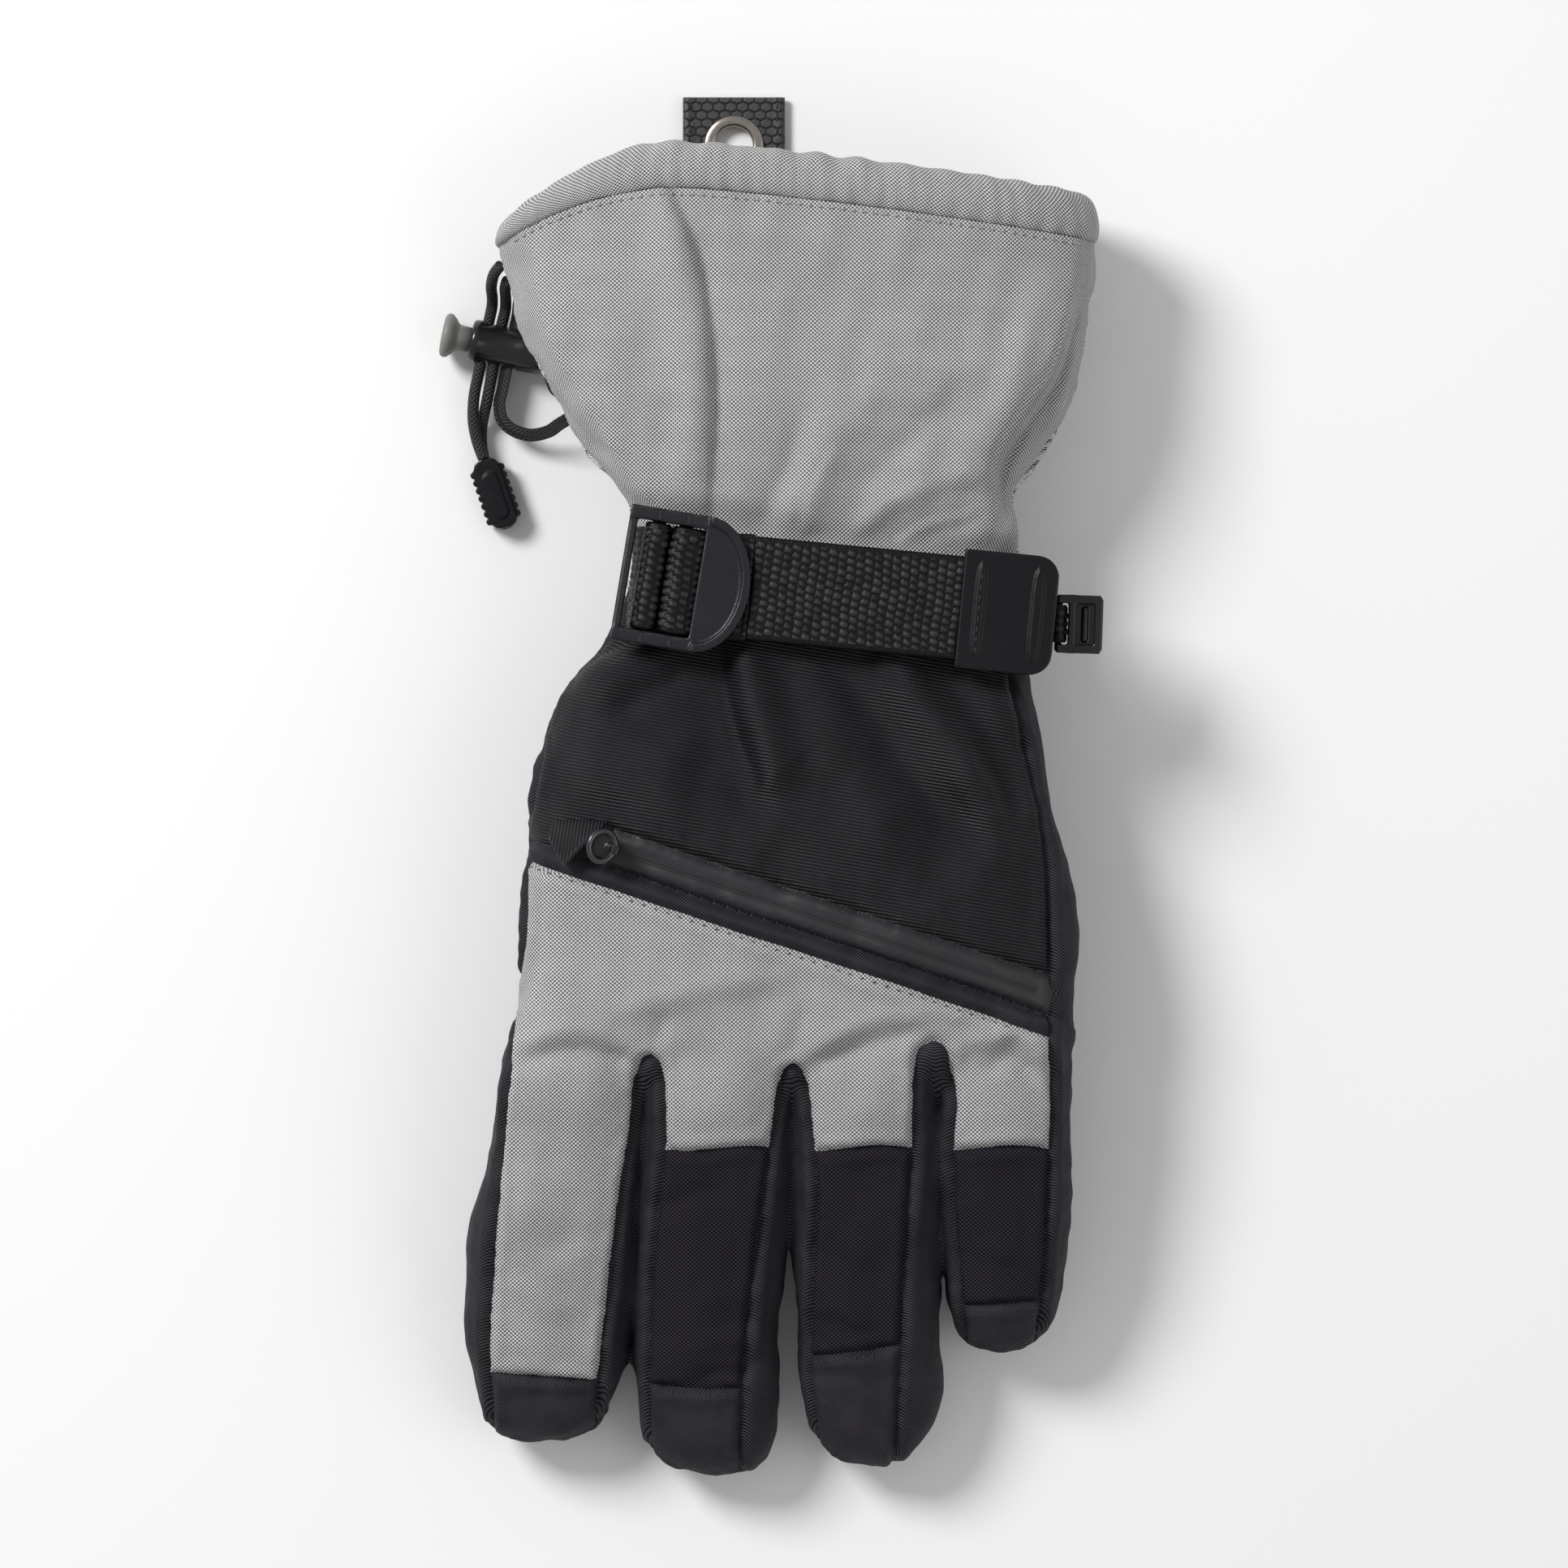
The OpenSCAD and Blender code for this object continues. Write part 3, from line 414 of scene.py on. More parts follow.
class Graph:
    """Short names for the node arithmetic of one material."""

    def __init__(self, nodes, links):
        self.nodes, self.links = nodes, links

    def plug(self, value, socket):
        if isinstance(value, bpy.types.NodeSocket):
            self.links.new(value, socket)
        else:
            socket.default_value = value

    def math(self, op, a, b=0.0, c=0.0, clamp=False):
        n = self.nodes.new("ShaderNodeMath")
        n.operation, n.use_clamp = op, clamp
        for socket, value in zip(n.inputs, (a, b, c)):
            self.plug(value, socket)
        return n.outputs[0]

    def axes(self, vector):
        n = self.nodes.new("ShaderNodeSeparateXYZ")
        self.links.new(vector, n.inputs[0])
        return n.outputs

    def cloth(self):
        n = self.nodes.new("ShaderNodeUVMap")
        n.uv_map = "cloth"
        return n.outputs[0]

    def place(self):
        """The point in the piece's own mesh, in millimetres."""
        n = self.nodes.new("ShaderNodeAttribute")
        n.attribute_name = "rest"
        return n.outputs["Vector"]

    def noise(self, vector, scale, detail=2, rough=.5):
        n = self.nodes.new("ShaderNodeTexNoise")
        self.links.new(vector, n.inputs["Vector"])
        for key, value in (("Scale", scale), ("Detail", detail), ("Roughness", rough)):
            n.inputs[key].default_value = value
        return n.outputs["Fac"]

    def cells(self, vector, scale, feature="F1"):
        n = self.nodes.new("ShaderNodeTexVoronoi")
        n.feature = feature
        self.links.new(vector, n.inputs["Vector"])
        n.inputs["Scale"].default_value = scale
        return n.outputs["Distance"]

    def ramp(self, value, stops):
        n = self.nodes.new("ShaderNodeValToRGB")
        self.links.new(value, n.inputs[0])
        ramp = n.color_ramp
        while len(ramp.elements) < len(stops):
            ramp.elements.new(.5)
        for e, (at, colour) in zip(ramp.elements, stops):
            e.position, e.color = at, (*colour, 1)
        return n.outputs[0]

    def cell(self, along, size, shift):
        """How far the point is from the middle of its cell, along one axis."""
        share = self.math("FRACT", self.math("MULTIPLY_ADD", along, 1 / size, shift))
        return self.math("ABSOLUTE", self.math("MULTIPLY", self.math("SUBTRACT", share, .5), size))

    def bump(self, height, bsdf, distance):
        n = self.nodes.new("ShaderNodeBump")
        n.inputs["Strength"].default_value = 1.0
        n.inputs["Distance"].default_value = distance * MM
        self.links.new(height, n.inputs["Height"])
        self.links.new(n.outputs[0], bsdf.inputs["Normal"])

    def wave(self, along, period, phase=0.0):
        """A cosine of this period, from 0 to 1."""
        turns = self.math("MULTIPLY_ADD", along, 2 * math.pi / period, phase)
        return self.math("MULTIPLY_ADD", self.math("COSINE", turns), .5, .5)


def grey(v):
    return (v, v, v)


def plain_weave(name, dark, light, across, along, depth, rough=.75, **sockets):
    """A checker of raised thread crossings."""
    m, nodes, links, bsdf = shader(name, light, rough, **sockets)
    g = Graph(nodes, links)
    u, v, _ = g.axes(g.cloth())
    a = g.math("COSINE", g.math("MULTIPLY", u, 2 * math.pi / across))
    b = g.math("COSINE", g.math("MULTIPLY", v, 2 * math.pi / along))
    check = g.math("MULTIPLY_ADD", g.math("MULTIPLY", a, b), .5, .5)
    drift = g.noise(g.cloth(), .09, 3)
    fuzz = g.noise(g.cloth(), 2.3, 2)
    height = g.math("MULTIPLY_ADD", fuzz, .35, check)
    tone = g.math("MULTIPLY_ADD", drift, .05, g.math("MULTIPLY_ADD", height, .66, -.03))
    links.new(g.ramp(tone, [(.2, dark), (.66, light)]), bsdf.inputs["Base Color"])
    g.bump(height, bsdf, depth)
    return m


def ribbed(name, dark, light, pitch, slope, depth, rough=.8, **sockets):
    """Twill: fine ribs at a slope, with broken threads across them; the rib crests are painted light, a
    painted highlight.
    """
    m, nodes, links, bsdf = shader(name, light, rough, **sockets)
    g = Graph(nodes, links)
    u, v, _ = g.axes(g.cloth())
    c, s = math.cos(math.radians(slope)), math.sin(math.radians(slope))
    over = g.math("ADD", g.math("MULTIPLY", v, c), g.math("MULTIPLY", u, -s))
    down = g.math("ADD", g.math("MULTIPLY", u, c), g.math("MULTIPLY", v, s))
    rib = g.wave(over, pitch)
    thread = g.wave(g.math("MULTIPLY_ADD", over, .5, down), pitch * .8)
    height = g.math("MULTIPLY_ADD", thread, .3, rib)
    drift = g.noise(g.cloth(), .12, 3)
    tone = g.math("MULTIPLY_ADD", drift, .3, g.math("MULTIPLY_ADD", height, .55, -.08))
    # the twill's own rib pattern, with its light end a painted highlight on the crests of the ribs
    links.new(g.ramp(tone, [(.25, dark), (.8, light)]), bsdf.inputs["Base Color"])
    g.bump(height, bsdf, depth)
    return m


def hex_leather(name):
    """Synthetic leather embossed with rows of hexagons that stand on a point."""
    m, nodes, links, bsdf = shader(name, grey(.03), .5, Coat_Weight=.12, Coat_Roughness=.35)
    g = Graph(nodes, links)
    u, v, _ = g.axes(g.cloth())
    width, tall = 2.87, 4.0             # a cell's width, and two rows
    slope_x, slope_y = .5, 1.076        # the cell's slanted sides
    edges = []
    for shift in (0, .5):
        x, y = g.cell(u, width, shift), g.cell(v, tall, shift)
        slant = g.math("ADD", g.math("MULTIPLY", x, slope_x), g.math("MULTIPLY", y, slope_y))
        edges.append(g.math("MAXIMUM", x, slant))
    best = g.math("MINIMUM", *edges)
    soft = g.math("SUBTRACT", 1.0, g.math("MULTIPLY", best, 2 / width), clamp=True)
    plateau = g.math("SMOOTH_MIN", g.math("MULTIPLY", soft, 3.6), 1.0, .5)
    grain = g.noise(g.cloth(), 1.7, 3)
    height = g.math("MULTIPLY_ADD", grain, .3, plateau)
    links.new(g.ramp(height, [(.1, grey(.006)), (.75, (.022, .021, .022)), (1, (.035, .034, .035))]),
              bsdf.inputs["Base Color"])
    links.new(g.math("MULTIPLY_ADD", g.noise(g.cloth(), .25, 2), .25, .38), bsdf.inputs["Roughness"])
    g.bump(height, bsdf, .32)
    return m


def grained(name, colour, light, scale, depth, rough, spread=.15, crack=True, **sockets):
    """Leather, moulded plastic and rubber: a grain of cells or of specks, and uneven gloss."""
    m, nodes, links, bsdf = shader(name, colour, rough, **sockets)
    g = Graph(nodes, links)
    at = g.place()
    grain = g.cells(at, scale, "DISTANCE_TO_EDGE") if crack else g.noise(at, scale, 3, .6)
    fine = g.noise(at, scale * 2.7, 2)
    height = g.math("MULTIPLY_ADD", fine, .5, g.math("MULTIPLY", grain, 1.6 if crack else 1.0))
    wide = g.noise(at, .07, 3)
    tone = g.math("MULTIPLY_ADD", wide, .6, g.math("MULTIPLY", height, .45))
    links.new(g.ramp(tone, [(.2, colour), (.9, light)]), bsdf.inputs["Base Color"])
    links.new(g.math("MULTIPLY_ADD", g.noise(at, .3, 3), spread, rough - spread / 2),
              bsdf.inputs["Roughness"])
    g.bump(height, bsdf, depth)
    return m


def braid(name, colour, light):
    """Crossing diagonal threads of a braided cord, round and along it."""
    pitch = 1.1
    m, nodes, links, bsdf = shader(name, light, .6)
    g = Graph(nodes, links)
    u, v, _ = g.axes(g.cloth())
    one = g.wave(g.math("ADD", u, v), pitch)
    other = g.wave(g.math("SUBTRACT", u, v), pitch)
    height = g.math("MAXIMUM", one, other)
    links.new(g.ramp(g.math("MULTIPLY", one, other), [(0, colour), (.8, light)]), bsdf.inputs["Base Color"])
    g.bump(height, bsdf, .25)
    return m


def yarns(name):
    """Coarse black yarns, with painted shade between them and a painted highlight on their crests; the mesh
    carries how high each point of a yarn stands.
    """
    m, nodes, links, bsdf = shader(name, grey(.01), .36, Specular_IOR_Level=.2)
    g = Graph(nodes, links)
    n = nodes.new("ShaderNodeAttribute")
    n.attribute_name = "yarn"
    fine = g.noise(g.place(), 3.4, 2)
    height = g.math("MULTIPLY_ADD", fine, .3, n.outputs["Fac"])
    # colour from the yarns' height: painted shade in the gaps, a painted highlight on the crests
    links.new(g.ramp(height, [(.3, grey(.0003)), (.75, (.004, .004, .005)), (1, (.024, .023, .026))]),
              bsdf.inputs["Base Color"])
    g.bump(fine, bsdf, .12)
    return m


GREY_CLOTH = plain_weave("grey_oxford", grey(.02), (.68, .68, .675), 1.0, .92, .26, .72,
                         Specular_IOR_Level=.25)
BLACK_WEAVE = plain_weave("black_canvas", (.0004, .0004, .0006), (.034, .029, .04), 1.05, .95, .34, .6,
                          Specular_IOR_Level=.1)
# each twill's light colour is a painted highlight on its rib crests
BACK_TWILL = ribbed("black_twill_back", (.0004, .0004, .0006), (.026, .0235, .031), .8, -10, .22, .5,
                    Specular_IOR_Level=.27)
SIDE_TWILL = ribbed("black_twill_side", (.001, .0009, .0014), (.06, .053, .068), .55, 40, .1, .66,
                    Specular_IOR_Level=.18)
FILM = grained("zip_film", (.0105, .0102, .0125), (.0145, .014, .017), 1.4, .01, .48, .08, crack=False)
PALM = hex_leather("hex_leather")
PAD = grained("pebble_leather", (.006, .006, .007), (.036, .035, .037), 1.25, .22, .48, .2)
SOFTSHELL = grained("softshell", (.004, .004, .006), (.011, .011, .014), 2.2, .05, .85, crack=False,
                    Sheen_Weight=.08, Sheen_Roughness=.4)
FLEECE = grained("fleece", (.012, .012, .013), (.045, .045, .047), 1.0, .5, .95, crack=False,
                 Sheen_Weight=.3)
# the webbing's colour holds painted shade between the yarns and a painted highlight on their crests
WEBBING = yarns("webbing")
PLASTIC = grained("moulded_plastic", (.003, .003, .004), (.008, .008, .010), 3.2, .035, .3, .12,
                  crack=False,
                  Specular_IOR_Level=.22)
BUCKLE_PLASTIC = grained("buckle_plastic", (.006, .006, .008), (.014, .014, .019), 3.2, .05, .27, .12,
                         crack=False,
                         Specular_IOR_Level=.34)
GLOSS = grained("glossy_plastic", (.005, .005, .006), (.011, .011, .0125), 1.2, .02, .2, .1, crack=False)
RUBBER = grained("grey_rubber", (.12, .12, .11), (.2, .2, .185), 1.6, .04, .5, crack=False)
METAL = grained("gunmetal", (.2, .18, .16), (.5, .46, .42), .5, .01, .26, .12, crack=False, Metallic=1.0)
DARK_METAL = grained("black_metal", (.05, .05, .055), (.12, .12, .13), .8, .01, .25, .1, crack=False,
                     Metallic=1.0)
CORD = braid("braided_cord", (.004, .004, .004), (.035, .034, .036))
GREY_THREAD = grained("grey_thread", grey(.2), grey(.36), 3, .05, .6, crack=False)
BLACK_THREAD = grained("black_thread", (.005, .005, .006), (.02, .02, .022), 3, .05, .6, crack=False)
PAPER = shader("paper_floor", grey(.86), .9)[0]


# ---------------------------------------------------------------- pieces
def finish_piece(ob, material, body, slot, nodes=(), bend=None):
    """Gives a finished mesh its material, and its body unless bend is given, when its transform is only
    baked in; slot is not used. bend is (body, start, end) in millimetres, but only whether it is given is
    read.
    """
    ob.data.materials.clear()
    ob.data.materials.append(material)
    P = np.zeros(len(ob.data.vertices) * 3, np.float32)
    ob.data.vertices.foreach_get("co", P)
    rest = ob.data.attributes.new("rest", "FLOAT_VECTOR", "POINT")
    rest.data.foreach_set("vector", P / MM)
    if bend:
        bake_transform(ob)
    else:
        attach(ob, body)
    if nodes:
        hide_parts(*nodes)
    return ob


# ---------------------------------------------------------------- padded shell: shape
def middle_z(P):
    """Height of the line between back and palm."""
    z = line(BODY[:, [0, 3]], P[:, 1])
    which = finger_of(P)
    for k, table in enumerate(TABLES):
        out = (P[:, 1] < -70) & (which == k)
        z[out] = line(table[:, [0, 3]], P[out, 1])
    return z


def finger_of(P):
    which = np.zeros(len(P), int)
    for gap in GAPS:
        which += P[:, 0] > line(gap, P[:, 1])
    return which


def from_line(P, path):
    """Signed distance of each point from a smooth line of (x, y), and how far along it from 0 to 1."""
    path = catmull(path, 6)
    best = np.full(len(P), 1e9)
    out, along = np.zeros(len(P)), np.zeros(len(P))
    count = len(path) - 1
    for k in range(count):
        a, b = path[k], path[k + 1]
        d = b - a
        t = np.clip(((P[:, :2] - a) @ d) / (d @ d), 0, 1)
        off = P[:, :2] - a - t[:, None] * d
        dist = np.linalg.norm(off, axis=1)
        near = dist < best
        best[near] = dist[near]
        along[near] = ((k + t) / count)[near]
        out[near] = np.sign(d[0] * off[near, 1] - d[1] * off[near, 0])
    return best * out, along


def fold(P, path, width, height, skew=0.0):
    """A ridge (or a furrow) along a line, fading at both ends. skew makes it a step."""
    s, along = from_line(P, path)
    ends = smooth(0, .3, along) * (1 - smooth(.7, 1, along))
    return height * ends * (bell(s, width) + skew * np.tanh(s / width) * bell(s, width * 3.2))


# Folds seen from above: path of (x, y), width, height and skew, in millimetres
TOP_FOLDS = [
    # the pleat down the gauntlet, and what pulls beside it
    ([(-29, 148), (-27, 141), (-22.7, 131), (-19.1, 117), (-17.3, 95), (-17.6, 78), (-18.3, 56)], 1.5,
     -1.5, 1.0),
    ([(-34, 146), (-27.5, 130), (-24, 105), (-23, 84), (-24, 58)], 4.5, 1.7, 0),
    ([(-58, 128), (-48, 118), (-40, 104), (-36, 86)], 8, 1.0, 0),
    ([(-52, 88), (-46, 76), (-40, 66), (-33, 57)], 4, -1.6, .3),
    ([(-50, 80), (-41, 72), (-31, 68)], 3, 1.4, 0),
    # puckers above the strap
    ([(-4, 56), (-3, 66), (2, 78), (4, 92)], 3, -1.8, .3),
    ([(3, 56), (6, 68), (13, 82), (24, 98)], 4.5, 1.3, .5),
    ([(14, 55), (22, 64), (34, 71), (52, 75)], 2.6, 1.2, .6),
    ([(14, 58), (20, 72), (34, 86), (46, 100)], 3.2, -.8, 0),
    ([(27, 54), (36, 60), (50, 64)], 2.2, -1.3, .3),
    ([(30, 92), (44, 98), (60, 106)], 6, 1.0, 0),
    ([(44, 80), (52, 92), (60, 112), (64, 126)], 4.2, 1.8, 0),
    # folds that run from the strap into the black back
    ([(-18, 40), (-17, 31), (-13, 12), (-8, -2), (0, -8)], 4, -3.6, -.8),
    ([(-12, 40), (-8, 26), (-3, 10), (2, -6)], 5, 3.0, 0),
    ([(-24, 38), (-26, 27), (-34, 22), (-44, 16)], 3.4, -2.0, .5),
    ([(-30, 36), (-40, 28), (-51, 22)], 4, 1.8, 0),
    ([(-52, 10), (-42, 6), (-30, 4), (-20, 0)], 5, 1.2, 0),
    ([(10, 38), (17, 25), (30, 6), (42, -10), (50, -20)], 4.4, -3.2, -.7),
    ([(2, 38), (9, 20), (20, -2), (26, -20)], 6, 1.8, 0),
    ([(22, 37), (32, 22), (44, 5), (54, -10)], 3.2, 2.2, 0),
    ([(31, 37), (42, 22), (53, 2), (58, -14)], 3, -1.9, 0),
    ([(40, 36), (48, 24), (56, 8)], 2.6, 1.3, 0),
    ([(-57, 4), (-46, -4), (-30, -8)], 3, -1.0, 0),
    # soft arches above the roots of the fingers
    ([(-66, -65), (-54, -60), (-42, -61), (-33, -66)], 2.2, 1.7, .6),
    ([(-67, -68), (-54, -64.5), (-42, -65.5), (-34, -69)], 1.8, -1.5, 0),
    ([(-46, -58), (-30, -52), (-10, -48), (8, -46)], 3, 1.2, .5),
    ([(4, -66), (14, -60), (28, -56), (46, -57)], 2.6, 1.6, .6),
    ([(3, -70), (14, -64.5), (28, -61), (40, -61)], 2.2, -1.2, 0),
    ([(42, -61), (50, -62), (56, -60), (60, -65), (66, -70)], 2, 2.0, .8),
    ([(46, -69), (54, -67), (58, -69), (64, -74)], 1.8, -2.0, .3),
    ([(-31, -64), (-30, -60), (-28, -54)], 2, -1.0, 0),
    ([(2, -66), (3, -60), (6, -52)], 2.2, -1.0, 0),
    ([(-66, -108), (-56, -112), (-46, -108)], 3.4, -1.0, .5),
    ([(-68, -118), (-60, -124), (-50, -128)], 3, 1.1, -.5)]
SIDE_FOLDS = [
    ([(72, 124), (70, 112), (66, 100), (58, 88), (51.4, 75), (54, 60)], 2.4, -3.8, .4),
    ([(-47, 66), (-40, 60), (-34, 56)], 2.4, -1.5, 0)]
# Sharp creases: path, rise before the line, drop past it (the line runs from the cuff down; past is +X)
CREASES = [
    ([(-29, 148), (-27, 141), (-22.7, 131), (-19.1, 117), (-17.3, 95), (-17.6, 78), (-18.3, 58)], 1.0, .9),
    ([(73, 120), (70.5, 112), (66, 98), (58, 86), (52, 75), (54, 62)], 1.2, 2.6),
    ([(4, 60), (6, 70), (12, 82)], .5, .6),
    ([(26, 58), (34, 63), (46, 66)], .6, .8),
    ([(-18, 38), (-16, 28), (-12, 10), (-6, -3)], .3, 1.7),
    ([(16, 37), (24, 20), (36, 2), (46, -14)], .3, 1.2)]
UNDER_FOLDS = [([(-26, 40), (-10, 12), (2, -18)], 6, 1.0, 0), ([(12, 38), (20, 4), (26, -30)], 5, -1.2, .5)]


def shape_folds(P, N):
    """How far each point moves along its normal, for the folds of the padded cloth."""
    top = smooth(-.1, .5, N[:, 2])
    under = smooth(-.1, .5, -N[:, 2])
    y = P[:, 1]
    cuff = smooth(60, 70, y)
    back = 1 - smooth(40, 50, y)
    d = np.zeros(len(P))
    for path, width, height, skew in TOP_FOLDS:
        d += top * fold(P, path, width, height, skew)
    for path, width, height, skew in SIDE_FOLDS:
        d += smooth(-.5, .2, N[:, 2]) * fold(P, path, width, height, skew)
    # the strap presses the cloth down
    strap = P[:, 1] - STRAP_AT[1] - math.tan(STRAP_TILT) * (P[:, 0] - STRAP_AT[0])
    d -= top * (1.6 * (1 - smooth(11, 18, np.abs(strap))) + 2.6 * bell(np.abs(strap) - 14.5, 5))
    # creases across the fingers
    r = np.random.default_rng(11)
    for k, table in enumerate(TABLES):
        on = (finger_of(P) == k) & (y < -74)
        for yc in r.uniform(-150 if k < 3 else -128, -92, 5):
            xc = np.interp(-yc, -table[:, 0], table[:, 1])
            hw = np.interp(-yc, -table[:, 0], table[:, 2])
            lean = r.uniform(-5, 5)
            side = r.choice([-1, 1])
            reach = side * hw
            path = [(xc + reach * .9, yc - lean), (xc + reach * .35, yc), (xc - reach * .3, yc + lean)]
            d += on * fold(P, path, r.uniform(1.8, 3.2), r.uniform(-1.3, 1.0), r.uniform(-.5, .5))
    # gathers at the wrist's elastic, on the palm
    gather = waves(np.stack([P[:, 0], y * .12], 1), (5.2, 9), 5)
    d += under * gather * 1.25 * bell(y - 50, 12)
    for path, width, height, skew in UNDER_FOLDS:
        d += under * fold(P, path, width, height, skew)
    # uneven filling everywhere
    wide = .42 * waves(P, (24, 30, 24), 3) * (1 - .35 * cuff)
    d += wide + .2 * waves(P, (9, 11, 9), 4) * (1 - .5 * back * top)
    # no fold goes deeper than floor + softness
    floor, softness = 2, 1.6
    deep = np.maximum(-d - floor, 0)
    return np.maximum(d, -floor) - softness * np.tanh(deep / softness)


def creases(P, N):
    """The sharp creases' part of the folds: the cloth rises to a line and drops just past it."""
    d = np.zeros(len(P))
    for path, rise, drop in CREASES:
        s, along = from_line(P, path)
        ends = smooth(0, .15, along) * (1 - smooth(.85, 1, along))
        past = .5 + .5 * np.tanh(s / .9)
        before = rise * np.exp(np.minimum(s, 0) / 5) * (1 - past)
        d += ends * (before - drop * np.exp(-np.maximum(s, 0) / 2) * past)
    return d * smooth(-.2, .3, N[:, 2])


def base_shell():
    """The closed padded body and its fingers in one skin, with its folds."""
    parts = [loft(BODY, CUFF_SQUARE)] + [loft(table, FINGER_SQUARE) for table in TABLES]
    P, T = skinned("shell", *joined(parts), VOXEL)
    P = relax(P, T, 8)
    N = normals(P, T)
    P = P + N * (shape_folds(P, N) + .35)[:, None]
    P = relax(P, T, 3)
    return P, T


# ---------------------------------------------------------------- padded shell: panels
def wrist_line(P):
    """Where the grey gauntlet meets the black hand: under the strap above, at the elastic below."""
    over = STRAP_AT[1] + math.tan(STRAP_TILT) * (P[:, 0] - STRAP_AT[0])
    return WRIST_ELASTIC + smooth(-3, 3, P[:, 2] - middle_z(P)) * (over - WRIST_ELASTIC)


def tip_line(P):
    """Distance in from the outline of the finger's end, on the palm side."""
    out = np.full(len(P), 99.0)
    which = finger_of(P)
    for k, table in enumerate(TABLES):
        tip = table[-1, 0]
        end = table[np.searchsorted(-table[:, 0], -(tip + 16))]
        cx, cy, r = end[1], tip + end[2], end[2]
        on = (which == k) & (P[:, 1] < cy)
        out[on] = r - np.hypot(P[on, 0] - cx, P[on, 1] - cy)
    return out


def slanted(lines, P):
    """Height over the slanted line of the point's own finger, as y - line(x)."""
    ends = np.array(lines)[finger_of(P)]
    (x0, y0), (x1, y1) = ends[:, 0].T, ends[:, 1].T
    return P[:, 1] - (y0 + (P[:, 0] - x0) / (x1 - x0) * (y1 - y0))


def zip_across(P):
    return (P[:, :2] - ZIP_START) @ ZIP_NORMAL


def zip_along(P):
    return (P[:, :2] - ZIP_START) @ ZIP_DIR


def upper(P):
    return P[:, 2] > middle_z(P)


def beside(points):
    return lambda P: P[:, 0] - line(points, P[:, 1])


def between(pair, x, y):
    """Whether a point lies in the wall between two fingers, given the wall's left and right lines."""
    left, right = pair
    return (y < left[1][0]) & (x > line(left, y)) & (x < line(right, y))


def cut_seams(P, T):
    """Splits the triangles along every seam."""
    hand = lambda P: upper(P) & (P[:, 1] < HAND_TOP)
    palm = lambda P: (P[:, 2] < middle_z(P) + 1) & (P[:, 1] < 52)
    walls = lambda P: hand(P) & (P[:, 1] < -56)
    palm_walls = lambda P: palm(P) & (P[:, 1] < -50)
    P, T = split(P, T, lambda P: P[:, 1] - HEM_LINE - arch(P[:, 0]))
    P, T = split(P, T, lambda P: P[:, 1] - wrist_line(P), lambda P: (P[:, 1] > 30) & (P[:, 1] < 70))
    P, T = split(P, T, lambda P: P[:, 2] - middle_z(P),
                 lambda P: (P[:, 1] > 40) | (tip_line(P) < 30))
    pairs = [((EDGE_LEFT, EDGE_RIGHT), hand), ((PALM_LEFT, PALM_RIGHT), palm)]
    pairs += [(pair, walls) for pair in WALLS] + [(pair, palm_walls) for pair in PALM_WALLS]
    for pair, where in pairs:
        for points in pair:
            P, T = split(P, T, beside(points), where)
    for drop in (BAND_HALF, -BAND_HALF, -KNUCKLE_SEAM):
        P, T = split(P, T, lambda P: zip_across(P) - drop, lambda P: hand(P) & (P[:, 1] > -70))
    P, T = split(P, T, lambda P: zip_along(P) + 2, lambda P: hand(P) & (np.abs(zip_across(P)) < 6))
    P, T = split(P, T, lambda P: P[:, 1] - KNUCKLE_CUT + .6 * np.sin(P[:, 0] / 5), walls)
    P, T = split(P, T, lambda P: P[:, 1] - PALM_CUT, palm)
    P, T = split(P, T, lambda P: slanted(CAPS, P), lambda P: walls(P) & (P[:, 1] < -110))
    P, T = split(P, T, lambda P: slanted(PADS, P), lambda P: palm(P) & (P[:, 1] < -76))
    P, T = split(P, T, lambda P: tip_line(P) - TIP_INSET, lambda P: palm(P) & (tip_line(P) < 30))
    return P, T


